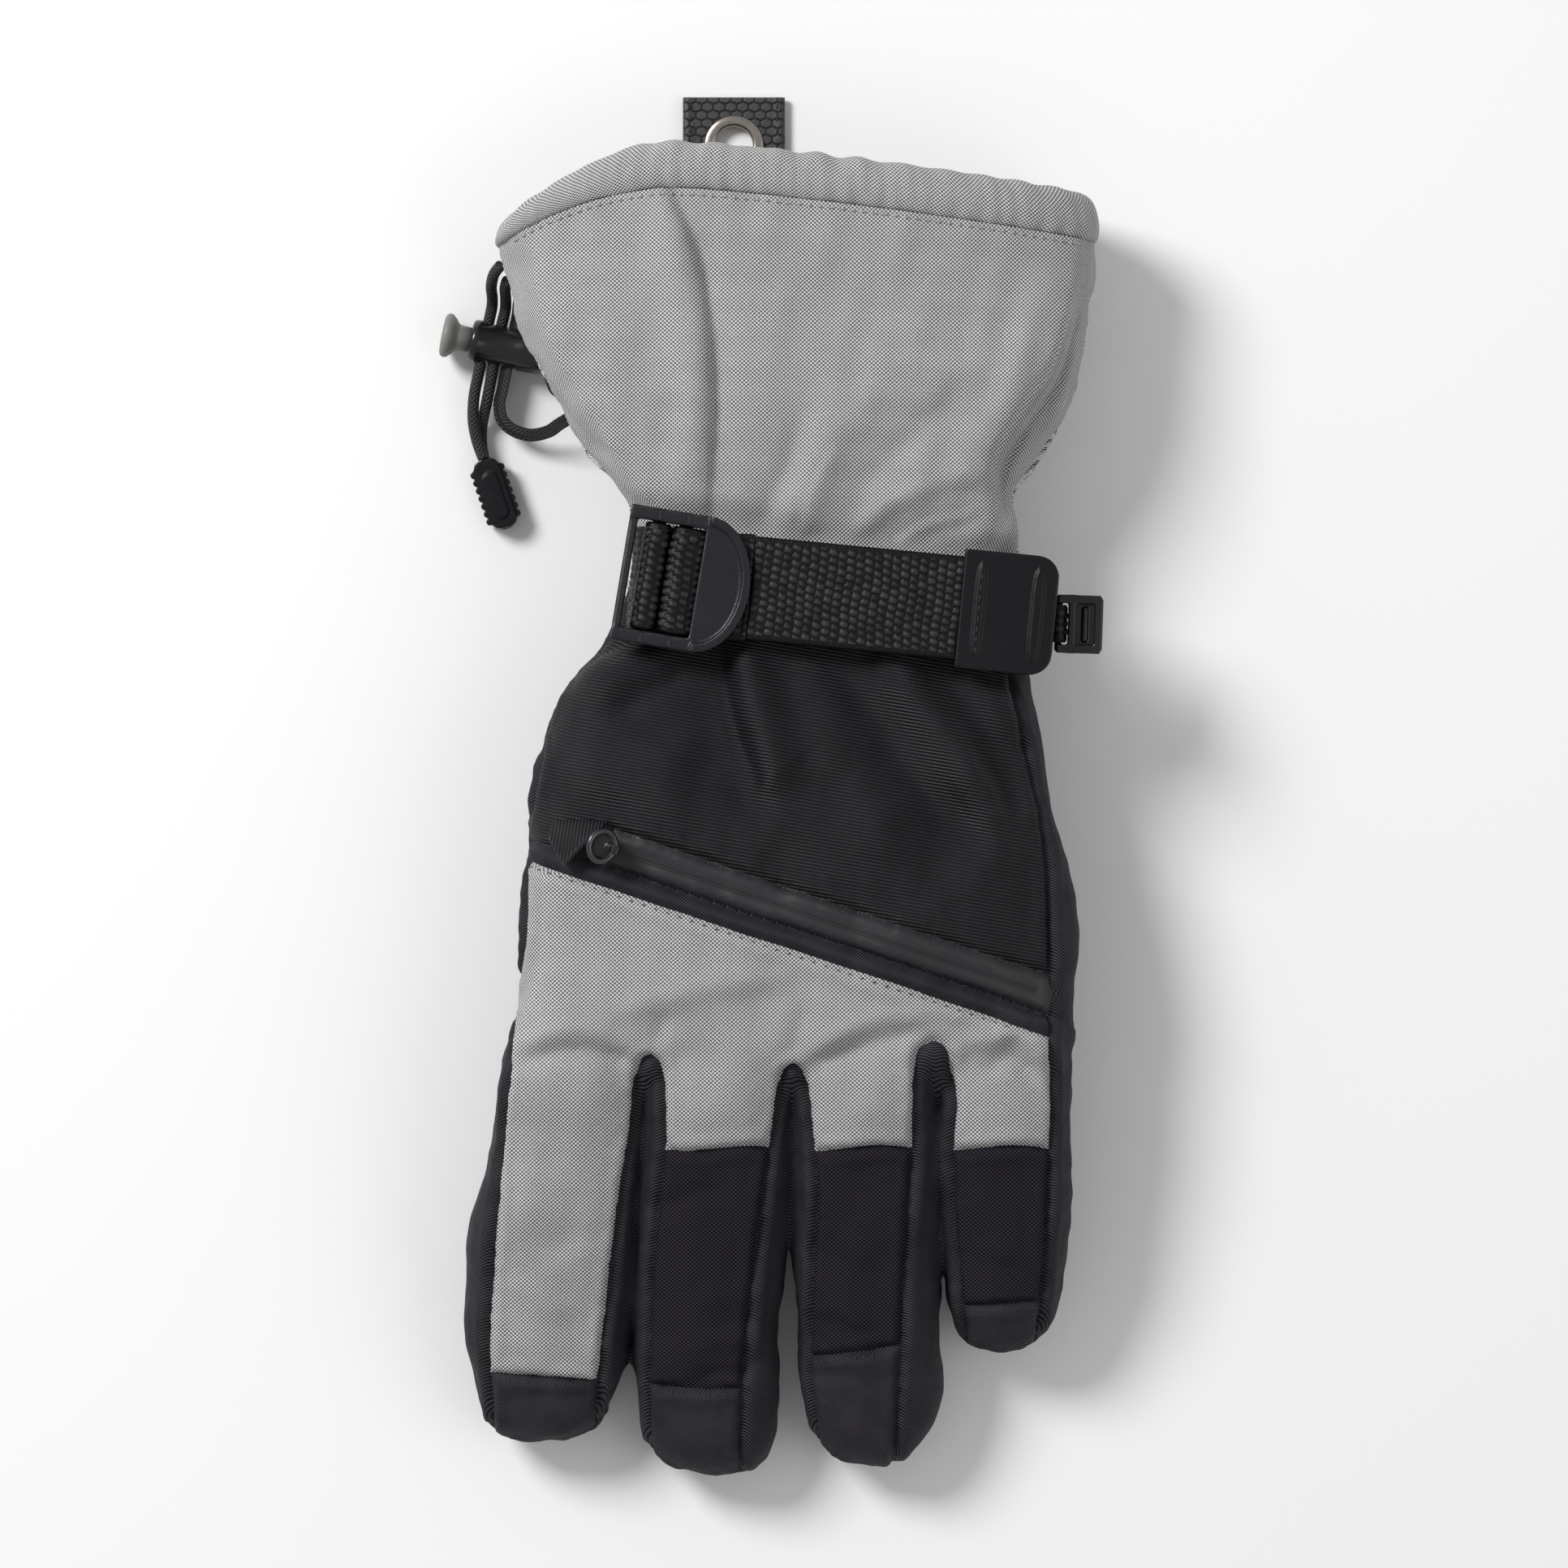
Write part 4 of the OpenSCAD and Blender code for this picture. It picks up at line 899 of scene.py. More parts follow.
def name_panels(P, T):
    """The panel of each triangle, or an empty name where the shell is open."""
    C = P[T].mean(1)
    x, y = C[:, 0], C[:, 1]
    which = finger_of(C)
    top = upper(C)
    finger = np.array(FINGERS)[which]
    centre = np.zeros(len(C))
    for k, table in enumerate(TABLES):
        on = which == k
        centre[on] = line(table[:, [0, 1]], y[on])
    side = np.where(x < centre, "_wall_left", "_wall_right")
    side = np.char.add(finger, side)
    side[(which == 0) & ((x < centre) | ((y > -55) & (x < 0)))] = "side_left"
    side[(which == 3) & ((x > centre) | ((y > -55) & (x > 0)))] = "side_right"
    side[(y > -50) & (x < 0)] = "side_left"
    side[(y > -50) & (x >= 0)] = "side_right"
    names = side.astype("U24")
    inside = (x > line(EDGE_LEFT, y)) & (x < line(EDGE_RIGHT, y)) & top
    inside_palm = (x > line(PALM_LEFT, y)) & (x < line(PALM_RIGHT, y)) & ~top
    for pair in WALLS:
        inside &= ~between(pair, x, y)
    for pair in PALM_WALLS:
        inside_palm &= ~between(pair, x, y)
    across, along = zip_across(C), zip_along(C)
    back = np.full(len(T), "back_upper", dtype="U24")
    back[(across < BAND_HALF) & (across > -BAND_HALF) & (along > -2)] = "zip_film"
    back[(across < -BAND_HALF) & (across > -KNUCKLE_SEAM)] = "zip_strip"
    back[across < -KNUCKLE_SEAM] = "knuckles"
    low = (y < KNUCKLE_CUT - .6 * np.sin(x / 5)) & (which > 0)
    back[low] = np.char.add(finger[low], "_back")
    cap = (slanted(CAPS, C) < 0) & (y < -110)
    back[cap] = np.char.add(finger[cap], "_cap")
    names[inside] = back[inside]
    palm = np.where(y > PALM_CUT, "palm", np.char.add(finger, "_palm")).astype("U24")
    pad = (slanted(PADS, C) < 0) & (y < -76)
    palm[pad] = np.char.add(finger[pad], "_pad")
    inside_palm &= tip_line(C) > TIP_INSET
    names[inside_palm] = palm[inside_palm]
    cuff = y > wrist_line(C)
    names[cuff] = np.where(top[cuff], "gauntlet_back", "gauntlet_palm")
    names[y > HEM_LINE + arch(x)] = ""
    return names


def seam_family(name):
    """Panels that are one cloth on the real glove, though two pieces here."""
    if name.endswith("_palm") and name != "gauntlet_palm":
        return "palm"
    if "wall" in name or name.startswith("side"):
        return "walls"
    return name


def seam_distance(P, T, names):
    """How far each point is from the nearest real seam, up to reach."""
    reach, close = 14.0, 5.0        # nearer than close, the distance is to the seam's edges
    family = np.array([seam_family(n) for n in names])
    E = sides_of(T)
    owner = np.tile(np.arange(len(T)), 3)
    order = np.lexsort((E[:, 1], E[:, 0]))
    E, owner = E[order], owner[order]
    same = (E[1:] == E[:-1]).all(1)
    first = np.nonzero(same)[0]
    real = family[owner[first]] != family[owner[first + 1]]
    edges = E[first[real]]
    A, B = P[edges[:, 0]], P[edges[:, 1]]
    tree = kdtree.KDTree(len(A))
    for i, m in enumerate((A + B) / 2):
        tree.insert(m, i)
    tree.balance()
    out = np.full(len(P), reach)
    for i, p in enumerate(P):
        near = tree.find_n(p, 3)
        if near[0][2] > reach:
            continue
        if near[0][2] > close:
            out[i] = near[0][2]
            continue
        ids = [n[1] for n in near]
        a, d = A[ids], B[ids] - A[ids]
        t = np.clip(((p - a) * d).sum(1) / np.maximum((d * d).sum(1), 1e-9), 0, 1)
        out[i] = np.linalg.norm(p - a - t[:, None] * d, axis=1).min()
    return out


P, T = base_shell()
P, T = cut_seams(P, T)
names = name_panels(P, T)
keep = names != ""
T, names = T[keep], names[keep]

# seams pull the cloth in, the cloth beside them rolls up, and it puckers along them
N = normals(P, T)
gap_to_seam = seam_distance(P, T, names)
pucker = waves(P, (4.2, 5.2, 5), 21)
roll = .62 * bell(gap_to_seam - 2.4, 1.7) - 1.05 * bell(gap_to_seam, .85)
puff = .55 * (1 - np.exp(-gap_to_seam / 6))
lift = roll + puff - .35 + .16 * pucker * np.exp(-gap_to_seam / 5)
flat_film = bell(zip_across(P), 3.6) * upper(P) * (P[:, 1] > -66) * (P[:, 1] < 0)
groove = .9 * bell(zip_across(P) + BAND_HALF + .3, .9) * upper(P) * (zip_along(P) > 0) * (P[:, 1] > -66)
P = P + N * (lift * (1 - .75 * flat_film) - groove + creases(P, N))[:, None]
N = normals(P, T)


def finger_values(P, column, start):
    """The body's value in this column of its stations, or past start the finger's own."""
    out = line(BODY[:, [0, column]], P[:, 1])
    which = finger_of(P)
    for k, table in enumerate(TABLES):
        on = (which == k) & (P[:, 1] < start)
        out[on] = line(table[:, [0, column]], P[on, 1])
    return out


def run_down(P):
    """Y, run on round the finger's end as an arc."""
    out, which, radius = P[:, 1].copy(), finger_of(P), 11.0
    for k, table in enumerate(TABLES):
        centre = table[-1, 0] + radius
        on = (which == k) & (P[:, 1] < centre)
        off = np.hypot(P[on, 0] - table[-1, 1], P[on, 2] - table[-1, 3] - 2)
        out[on] = centre - radius * (np.pi / 2 - np.arctan2(off, centre - P[on, 1]))
    return out


def cloth_uv(P, kind):
    """Cloth coordinates in millimetres: across the piece and along it."""
    z = P[:, 2]
    if kind == "side":
        # round the finger, or round the hand's edge, as an arc of one radius
        radius = 14.0
        middle = finger_values(P, 1, -50)
        edge = np.where(P[:, 1] < -50, 0, line(BODY[:, [0, 2]], P[:, 1]) - radius)
        off = np.abs(P[:, 0] - middle - np.sign(P[:, 0] - middle) * edge)
        return np.stack([radius * np.arctan2(z - middle_z(P), off), run_down(P)], 1)
    # flat, and hanging down where the sides get steep
    off = P[:, 0] - finger_values(P, 1, -70)
    hang = np.maximum(.62 * finger_values(P, 4, -70) - np.abs(z - middle_z(P)), 0)
    return np.stack([P[:, 0] + np.sign(off) * hang * .9, run_down(P)], 1)


HINGE = {"index": (-104, -124), "middle": (-104, -124), "ring": (-104, -124), "little": (-86, -106)}
PANELS = {
    "gauntlet_back": (GREY_CLOTH, "top", "grey_weave", ["gauntlet_back"]),
    "gauntlet_palm": (GREY_CLOTH, "palm", "grey_weave", ["gauntlet_palm"]),
    "back_upper": (BACK_TWILL, "top", "black_twill", ["back_panel", "pocket_bag", "insulation"]),
    "zip_film": (FILM, "top", "zip_film", ["zip_tape", "zip_coil"]),
    "zip_strip": (SIDE_TWILL, "top", "black_twill", []),
    "palm": (PALM, "palm", "palm_leather", ["palm_panel"]),
}


def piece_spec(name):
    """Material, cloth direction, slot, replaced nodes, and the finger whose hinge the piece is measured
    against.
    """
    if name in PANELS:
        return (*PANELS[name], None)
    if name == "knuckles":
        return GREY_CLOTH, "top", "grey_weave", ["knuckle_panel", "index_root_back"], "index"
    if name in ("side_left", "side_right"):
        return SIDE_TWILL, "side", "black_twill", [], "index" if name == "side_left" else "little"
    finger, part = name.split("_", 1)
    return {
        "back": (BLACK_WEAVE, "top", "black_twill", [f"{finger}_root_back", f"{finger}_tip_liner"], finger),
        "cap": (SIDE_TWILL, "top", "black_twill", [f"{finger}_tip_back"], finger),
        "palm": (PALM, "palm", "palm_leather", [f"{finger}_root_palm"], finger),
        "pad": (PAD, "palm", "pad_leather",
                [f"{finger}_tip_pad"] + (["index_tip_liner"] if finger == "index" else []), finger),
    }.get(part, (SIDE_TWILL, "side", "black_twill", [], finger))


def panel_piece(name):
    """One panel as its own mesh, with the shell's normals, so that cuts in one cloth don't show."""
    tris = T[names == name]
    used, index = np.unique(tris, return_inverse=True)
    material, kind, slot, nodes, finger = piece_spec(name)
    points = P[used]
    ob = new_mesh(name + "_cloth", points, index.reshape(-1, 3), cloth_uv(points, kind))
    ob.data.normals_split_custom_set_from_vertices(N[used].tolist())
    bend = None
    if finger:
        start, end = HINGE[finger]
        if points[:, 1].min() < start:
            x = line(TABLES[FINGERS.index(finger)][:, [0, 1]], (start + end) / 2)
            bend = (f"{finger}_tip", (x, start, 20), (x, end, 20))
    return finish_piece(ob, material, "hand", slot, nodes, bend)


for name in sorted(set(names)):
    panel_piece(name)


# ---------------------------------------------------------------- helpers for straps and moulded parts
def turned(P, angle, at):
    """Points of a flat frame turned by this angle and set down at a place, in millimetres."""
    c, s = math.cos(angle), math.sin(angle)
    P = np.asarray(P, float)
    return np.stack([at[0] + c * P[:, 0] - s * P[:, 1], at[1] + s * P[:, 0] + c * P[:, 1], P[:, 2]], 1)


def on_strap(P):
    return turned(P, STRAP_TILT, STRAP_AT)


def on_buckle(P):
    """The buckle leans a little on the strap, about a point between its bars."""
    lean, middle = math.radians(-4), 15.0
    P = turned(np.asarray(P, float) - [middle, 0, 0], lean, (middle, 0))
    return on_strap(P)


def on_wrap(P):
    """As on_buckle, but straightened toward the tail that the webbing runs on into."""
    P = np.asarray(P, float)
    share = smooth(18, 31, P[:, 0])[:, None]
    return on_buckle(P) * (1 - share) + on_strap(P) * share


def on_zip(P):
    return turned(P, math.atan2(ZIP_DIR[1], ZIP_DIR[0]), ZIP_START)


def on_lock(P):
    P = np.asarray(P, float)
    return turned(P + [0, 0, LOCK_AT[2]], LOCK_TILT, LOCK_AT)


def on_clip(P):
    return turned(np.asarray(P, float) + [0, 0, CLIP_Z], CLIP_TILT, CLIP_AT)


def rounded(w, h, r, steps=6):
    """Outline of a rectangle with round corners, about the origin."""
    out = []
    for cx, cy, start in ((1, 1, 0), (-1, 1, 90), (-1, -1, 180), (1, -1, 270)):
        for a in np.radians(np.linspace(start, start + 90, steps)):
            out.append((cx * (w / 2 - r) + r * math.cos(a), cy * (h / 2 - r) + r * math.sin(a)))
    return out


def prism(outline, low, high, axes="xyz"):
    """A closed solid over a flat outline. axes says which way its two directions and its height run."""
    n = len(outline)
    order = [axes.index(c) for c in "xyz"]
    P = np.array([(*p, h) for h in (low, high) for p in outline], float)[:, order]
    faces = [tuple(reversed(range(n))), tuple(range(n, 2 * n))]
    faces += [(i, (i + 1) % n, n + (i + 1) % n, n + i) for i in range(n)]
    return P, faces


def mould(name, parts, place, voxel=.3, smoothing=4):
    """Joins closed solids into one skin with small rounds at every edge, as an injection moulding has."""
    P, T = skinned(name + "_raw", *joined(parts), voxel)
    return new_mesh(name, place(relax(P, T, smoothing)), T)


def turned_solid(profile):
    """A lathe: profile is a closed list of (along X, radius)."""
    around = 64
    t = np.linspace(0, 2 * np.pi, around, endpoint=False)
    n = len(profile)
    P = np.array([(x, r * math.cos(a), r * math.sin(a)) for a in t for x, r in profile])
    faces = []
    for j in range(around):
        k = (j + 1) % around
        for i in range(n):
            m = (i + 1) % n
            if profile[i][1] > 1e-6 or profile[m][1] > 1e-6:
                faces.append((j * n + i, k * n + i, k * n + m, j * n + m))
    return P, faces


def frames_along(path):
    """Directions to the side of and above a path."""
    along = directions(np.asarray(path, float))
    side = np.cross(along, [.1, .2, 1.0])
    side /= np.linalg.norm(side, axis=1, keepdims=True)
    return side, np.cross(side, along)


def tube(path, section):
    """A tube along a path; section(k, n) gives its outline's (side, up) pairs at ring k."""
    side, up = frames_along(path)
    n = len(path)
    rings, uv = [], []
    run = run_along(path)
    for k in range(n):
        outline = np.array(section(k, n))
        rings.append(path[k] + outline[:, :1] * side[k] + outline[:, 1:] * up[k])
        uv.append(np.stack([run_along(outline), np.full(len(outline), run[k])], 1))
    m = len(rings[0])
    faces = [(k * m + i, k * m + (i + 1) % m, (k + 1) * m + (i + 1) % m, (k + 1) * m + i)
             for k in range(n - 1) for i in range(m)]
    faces += [tuple(reversed(range(m))), tuple((n - 1) * m + i for i in range(m))]
    return np.concatenate(rings), faces, np.concatenate(uv)


def circle(r, sides):
    turns = [2 * math.pi * i / sides for i in range(sides)]
    return [(r * math.cos(a), r * math.sin(a)) for a in turns]


GRAIN = .3                          # grain of the webbing's mesh
YARN_LONG, YARN_WIDE = 2.2, 1.9     # one yarn's float, along the web and across it


def webbing(name, path, place, width, thick, seed):
    """Coarse webbing along a side view's path of (x, z): pebbled yarns in staggered columns across it."""
    route, length = resampled(path, GRAIN), run_along(path)[-1]
    n, m = len(route), int(width / GRAIN) + 1
    out = outward(route)
    s = np.linspace(0, length, n)[:, None] + np.zeros(m)
    w = np.linspace(-width / 2, width / 2, m)[None, :] + np.zeros((n, 1))
    sway = .22 * np.sin(w / 5.1 + seed) + .15 * np.sin(w / 2.3 + s / 9 + 2 * seed)
    column = (s + sway) / YARN_LONG
    row = w / YARN_WIDE + .4 * (np.floor(column) % 2) + .12 * np.sin(s / 3.7 + seed)
    tall = np.sqrt(np.clip(1 - (2 * (column % 1) - 1) ** 2, 0, 1))
    wide = np.sqrt(np.clip(1 - (2 * (row % 1) - 1) ** 2, 0, 1))
    r = np.random.default_rng(31 + seed)
    table = r.uniform(.75, 1.15, (400, 400))
    vary = table[np.floor(column).astype(int) % 400, np.floor(row).astype(int) % 400]
    relief = .52 * tall * wide * vary - .18
    edge = np.abs(w) > width / 2 - 1.3
    relief[edge] = (.16 * np.sin(2 * np.pi * s / 1.5) ** 2)[edge] - .05
    fade = smooth(0, .5, width / 2 - np.abs(w))
    points, faces = [], []
    for sign in (1, -1):
        h = sign * (thick / 2 * (.25 + .75 * fade) + relief * fade)
        x = route[:, :1] + out[:, :1] * h
        z = route[:, 1:] + out[:, 1:] * h
        points.append(np.stack([x, w, z], 2).reshape(-1, 3))
    top, low = lambda i, j: i * m + j, lambda i, j: n * m + i * m + j
    for i in range(n - 1):
        for j in range(m - 1):
            faces.append((top(i, j), top(i + 1, j), top(i + 1, j + 1), top(i, j + 1)))
            faces.append((low(i, j), low(i, j + 1), low(i + 1, j + 1), low(i + 1, j)))
    for i in range(n - 1):
        faces.append((top(i, 0), low(i, 0), low(i + 1, 0), top(i + 1, 0)))
        faces.append((top(i, m - 1), top(i + 1, m - 1), low(i + 1, m - 1), low(i, m - 1)))
    for j in range(m - 1):
        faces.append((top(0, j), top(0, j + 1), low(0, j + 1), low(0, j)))
        faces.append((top(n - 1, j), low(n - 1, j), low(n - 1, j + 1), top(n - 1, j + 1)))
    ob = new_mesh(name, place(np.concatenate(points)), faces)
    # how high each point of a yarn stands, which the webbing material turns into painted shade in the gaps
    # and a painted highlight on the crests
    yarn = ob.data.attributes.new("yarn", "FLOAT", "POINT")
    yarn.data.foreach_set("value", np.tile(np.clip((relief + .18) / .55, 0, 1).ravel(),
                                           2).astype(np.float32))
    return ob


def stitches(path, up, pitch=2.7, length=2.0, r=.2):
    """Small thread loops lying on a surface along a path with its normals."""
    run = run_along(path)
    parts = []
    sink, bow = .1, np.array([-.35, .05, .2, .05, -.35])
    for k in range(int(run[-1] // pitch)):
        at = k * pitch + np.linspace(0, length, 5)
        if at[-1] > run[-1]:
            break
        p = np.stack([np.interp(at, run, path[:, c]) for c in range(3)], 1)
        n = np.stack([np.interp(at, run, up[:, c]) for c in range(3)], 1)
        p = p + n * (bow * r / .2 - sink + r)[:, None]
        size = np.array([.5, 1, 1.05, 1, .5]) * r
        P, F, _ = tube(p, lambda j, _: [(c[0] * size[j], c[1] * size[j]) for c in circle(1, 6)])
        parts.append((P, F))
    return joined(parts)


def facing(path, up=1.0):
    """Straight up (or down) at every point of a path."""
    return np.tile([0, 0, up], (len(path), 1))


SKIN = BVHTree.FromPolygons(P.tolist(), T.tolist())


def on_skin(path, from_above=True):
    """Where a flat path of (x, y) lies on the glove's skin, with the normals there."""
    points, ups = [], []
    for x, y in resampled(path, .5):
        start, way = ((x, y, 90), (0, 0, -1)) if from_above else ((x, y, -50), (0, 0, 1))
        hit, n, _, _ = SKIN.ray_cast(start, way)
        if hit is not None:
            points.append(hit)
            ups.append(n if n.dot(Vector(way)) < 0 else -n)
    return np.array(points), np.array(ups)


# ---------------------------------------------------------------- cuff: hem and lining
def hem_point(t, dy, out):
    """A point of the hem at angle t, this far up the cuff from its seam and this far out."""
    y = HEM_LINE + dy
    rows = BODY[:2][::-1]
    station = np.array([np.interp(y, rows[:, 0], rows[:, c]) for c in range(1, 5)])
    x = station[0] + (station[1] + out) * spow(np.cos(t), CUFF_SQUARE)
    z = station[2] + (station[3] + out) * spow(np.sin(t), CUFF_SQUARE)
    tall = 1 - .5 * np.clip((-34 - x) / 34, 0, 1)       # the band is narrower at the cord's end
    return x, HEM_LINE + np.where(np.asarray(dy) > 0, dy * tall, dy) + arch(x), z


def even_angles(count):
    """Angles round the mouth that are evenly spaced along it."""
    fine = np.linspace(0, 2 * np.pi, 4001)
    x, y, z = hem_point(fine, 0, 0)
    run = np.concatenate([[0], np.cumsum(np.sqrt(np.diff(x) ** 2 + np.diff(y) ** 2 + np.diff(z) ** 2))])
    return np.interp(np.linspace(0, run[-1], count, endpoint=False), run, fine), run[-1]


def hem_band():
    profile = catmull([(-1.2, -1.6), (-.3, -.7), (.4, .35), (1.8, 1.2), (4.2, 1.75), (7.2, 1.6), (9.6, .9),
                       (11, -.4),
                       (11.5, -2), (11, -3.6), (9.6, -4.6), (6, -5), (1, -5.1), (-4, -5.2)], 4)
    angles, around = even_angles(620)
    r = np.random.default_rng(17)
    rounds = np.zeros((3, len(angles)))
    for row, (low, high) in enumerate(((42, 70), (26, 40), (60, 110))):
        for k in r.integers(low, high, 7):
            turn = np.arange(len(angles)) / len(angles) * 2 * np.pi * k
            rounds[row] += np.sin(turn + r.uniform(0, 6.3)) / 2.6
    points, uv = [], []
    run = run_along(profile)
    for j, (dy, out) in enumerate(profile):
        seam = math.exp(-((dy - .6) / 3.2) ** 2) if j < 26 else 0
        rim = math.exp(-((dy - 11) / 3.5) ** 2)
        x, y, z = hem_point(angles, dy + rim * .24 * rounds[1], out + seam * .2 * rounds[0]
                            + rim * .2 * rounds[1] + .1 * rounds[2])
        points.append(np.stack([x, y, np.maximum(z, .3)], 1))
        uv.append(np.stack([np.arange(len(angles)) * around / len(angles), np.full(len(angles), run[j])],
                           1))
    faces = ring_faces(len(profile), len(angles))
    return new_mesh("cuff_hem_band", np.concatenate(points), faces, np.concatenate(uv))


hem = finish_piece(hem_band(), GREY_CLOTH, "hand", "grey_weave", ["cuff_hem", "hem_drawcord"])


def cuff_lining():
    """The fleece sleeve inside the cuff and hand, closed at its far end."""
    table = [row.copy() for row in BODY if row[0] > -20][1:]
    for row in table[2:]:
        row[[2, 4]] -= 2            # clear of the shell's deepest folds
    n, inside = 128, 5.4
    Q, F = loft(table, CUFF_SQUARE, around=n, steps=6, depth=inside, caps=False)
    last = len(Q) // n - 1
    F = [f[::-1] for f in F] + [tuple(last * n + i for i in range(n))]
    ripple = waves(Q, (9, 16, 9), 41)
    centre = np.stack([np.full(len(Q), 4.0), Q[:, 1], np.full(len(Q), 28.0)], 1)
    way = (Q - centre) / np.linalg.norm(Q - centre, axis=1, keepdims=True)
    return new_mesh("fleece_lining", Q + way * (ripple * .5)[:, None], F)


finish_piece(cuff_lining(), FLEECE, "hand", "fleece", ["gauntlet_lining", "lining"])


# ---------------------------------------------------------------- thumb and pull strap
THUMB = np.array([
    [44, -25, 14, 8.6, 5.2], [38, -25.4, 16.4, 8.8, 6.8], [25, -26.6, 21, 8.7, 8],
    [12, -28.6, 26, 8.7, 8.3],
    [0, -29.4, 28.8, 8.6, 8.4],
    [-38, -26.6, 31, 8.6, 8.4], [-58, -21, 26.8, 8, 7.8], [-80, -15.4, 20, 6.6, 6.2],
    [-92, -12.8, 14, 5.6, 5],
    [-99, -12.4, 7.6, 5, 3.4], [-101, -12.4, 2, 4.8, 1.6]])


def thumb():
    Q, F = loft(THUMB, THUMB_SQUARE, around=150, steps=14)
    TT = np.array([t for f in F if len(f) == 4 for t in ((f[0], f[1], f[2]), (f[0], f[2], f[3]))])
    NN = normals(Q, TT)
    edge = np.abs(NN[:, 2])
    seam = -.9 * bell(edge, .06) + .35 * bell(edge - .3, .14)
    soft = .45 * waves(Q, (26, 34, 20), 51) + .15 * waves(Q, (9, 10, 9), 52)
    gather = waves(np.stack([Q[:, 0], Q[:, 1] * .15], 1), (5, 8), 53) * .7 * bell(Q[:, 1] - 42, 14)
    Q = Q + NN * (seam + np.minimum(soft + gather, .35))[:, None]
    Q[:, 2] = np.clip(Q[:, 2], .15, 17.2)
    return new_mesh("thumb_leaf", Q, F, np.stack([Q[:, 0], Q[:, 1]], 1))


finish_piece(thumb(), SOFTSHELL, "thumb", "softshell", ["thumb_shell", "thumb_liner"])

EYELET = np.array([-12.3, 156.6])
PULL_LINE = [(41, 16.3), (48, 16.2), (58, 14.4), (66, 12.2), (76, 8.6), (90, 5), (106, 2.4), (118, 1.8),
             (128, 1.6),
             (148, 1.55), (168.4, 1.55)]


def pull_strap():
    """Two leather faces and their edges; the inner rows are drawn out round the eyelet's hole."""
    path = resampled(catmull(PULL_LINE, 8), .8)
    n, m, width = len(path), 33, 25.0
    hole, opened, reach = 1.5, 5.0, 9.0     # radii: rows left out, where they are drawn to, where that ends
    u = np.linspace(-width / 2, width / 2, m)
    out = outward(path)
    grids, uv = [], []
    for sign in (1, -1):
        y = path[:, :1] + np.zeros(m)
        x = EYELET[0] + u[None, :] + np.zeros((n, 1))
        off = np.hypot(x - EYELET[0], y - EYELET[1])
        near = (off < reach) & (off > 1e-6)
        grown = np.where(near, opened + np.maximum(off - hole, 0) * (reach - opened) / (reach - hole), off)
        x2 = np.where(near, EYELET[0] + (x - EYELET[0]) * grown / np.maximum(off, 1e-6), x)
        y2 = np.where(near, EYELET[1] + (y - EYELET[1]) * grown / np.maximum(off, 1e-6), y)
        inset = width / 2 - np.abs(u)[None, :]
        hem = .22 * smooth(3.2, 2.4, inset) - .3 * bell(inset - 2.6, .35)
        thick = .9 * smooth(-.4, .6, inset) * np.ones((n, 1)) + hem * (sign > 0)
        z = path[:, 1:] + out[:, 1:] * sign * thick
        y3 = y2 + out[:, :1] * sign * thick
        bumps = waves(np.stack([x2.ravel(), y2.ravel()], 1), (14, 22), 61).reshape(z.shape)
        z = z + .25 * bumps * smooth(150, 130, y)
        grids.append(np.stack([x2, y3, np.maximum(z, .15)], 2).reshape(-1, 3))
        uv.append(np.stack([x2, y2], 2).reshape(-1, 2))
        outside = off > hole
    faces = []
    key = lambda s, i, j: s * n * m + i * m + j
    for i in range(n - 1):
        for j in range(m - 1):
            if outside[i, j] and outside[i + 1, j] and outside[i, j + 1] and outside[i + 1, j + 1]:
                faces.append((key(0, i, j), key(0, i, j + 1), key(0, i + 1, j + 1), key(0, i + 1, j)))
                faces.append((key(1, i, j), key(1, i + 1, j), key(1, i + 1, j + 1), key(1, i, j + 1)))
    for i in range(n - 1):
        faces.append((key(0, i, 0), key(0, i + 1, 0), key(1, i + 1, 0), key(1, i, 0)))
        faces.append((key(0, i, m - 1), key(1, i, m - 1), key(1, i + 1, m - 1), key(0, i + 1, m - 1)))
    for j in range(m - 1):
        faces.append((key(0, 0, j), key(1, 0, j), key(1, 0, j + 1), key(0, 0, j + 1)))
        faces.append((key(0, n - 1, j), key(0, n - 1, j + 1), key(1, n - 1, j + 1), key(1, n - 1, j)))
    used = np.unique(np.concatenate([np.array(f) for f in faces]))
    index = {int(v): i for i, v in enumerate(used)}
    faces = [tuple(index[v] for v in f) for f in faces]
    return new_mesh("pull_tab", np.concatenate(grids)[used], faces, np.concatenate(uv)[used])


finish_piece(pull_strap(), PALM, "hand", "palm_leather", ["pull_strap"])


def pull_strap_thread():
    """Stitched edges, and a stitched box near the end that holds the eyelet's fold."""
    parts = []
    x0, x1 = EYELET[0] - 10.6, EYELET[0] + 10.6
    route = catmull(PULL_LINE, 8)
    for x in (x0, x1):
        path = np.stack([np.full(len(route), x), route[:, 0], route[:, 1] + 1.0], 1)
        parts.append(stitches(path, facing(path), 3.0, 2.2, .17))
        parts.append(stitches(path - [0, 0, 2.0], facing(path, -1.0), 3.0, 2.2, .17))
    low, high, z = 135, 143.5, 2.6
    corners = [(x0, high), (x1, high), (x0, low), (x1, low), (x0, high)]
    for a, b in zip(corners, corners[1:]):
        path = resampled([(a[0], a[1], z), (b[0], b[1], z)], 1)
        parts.append(stitches(path, facing(path), 2.8, 2.1, .17))
    Q, F = joined(parts)
    Q[:, 2] = np.maximum(Q[:, 2], .05)
    return new_mesh("pull_tab_thread", Q, F)


finish_piece(pull_strap_thread(), BLACK_THREAD, "hand", "palm_leather")


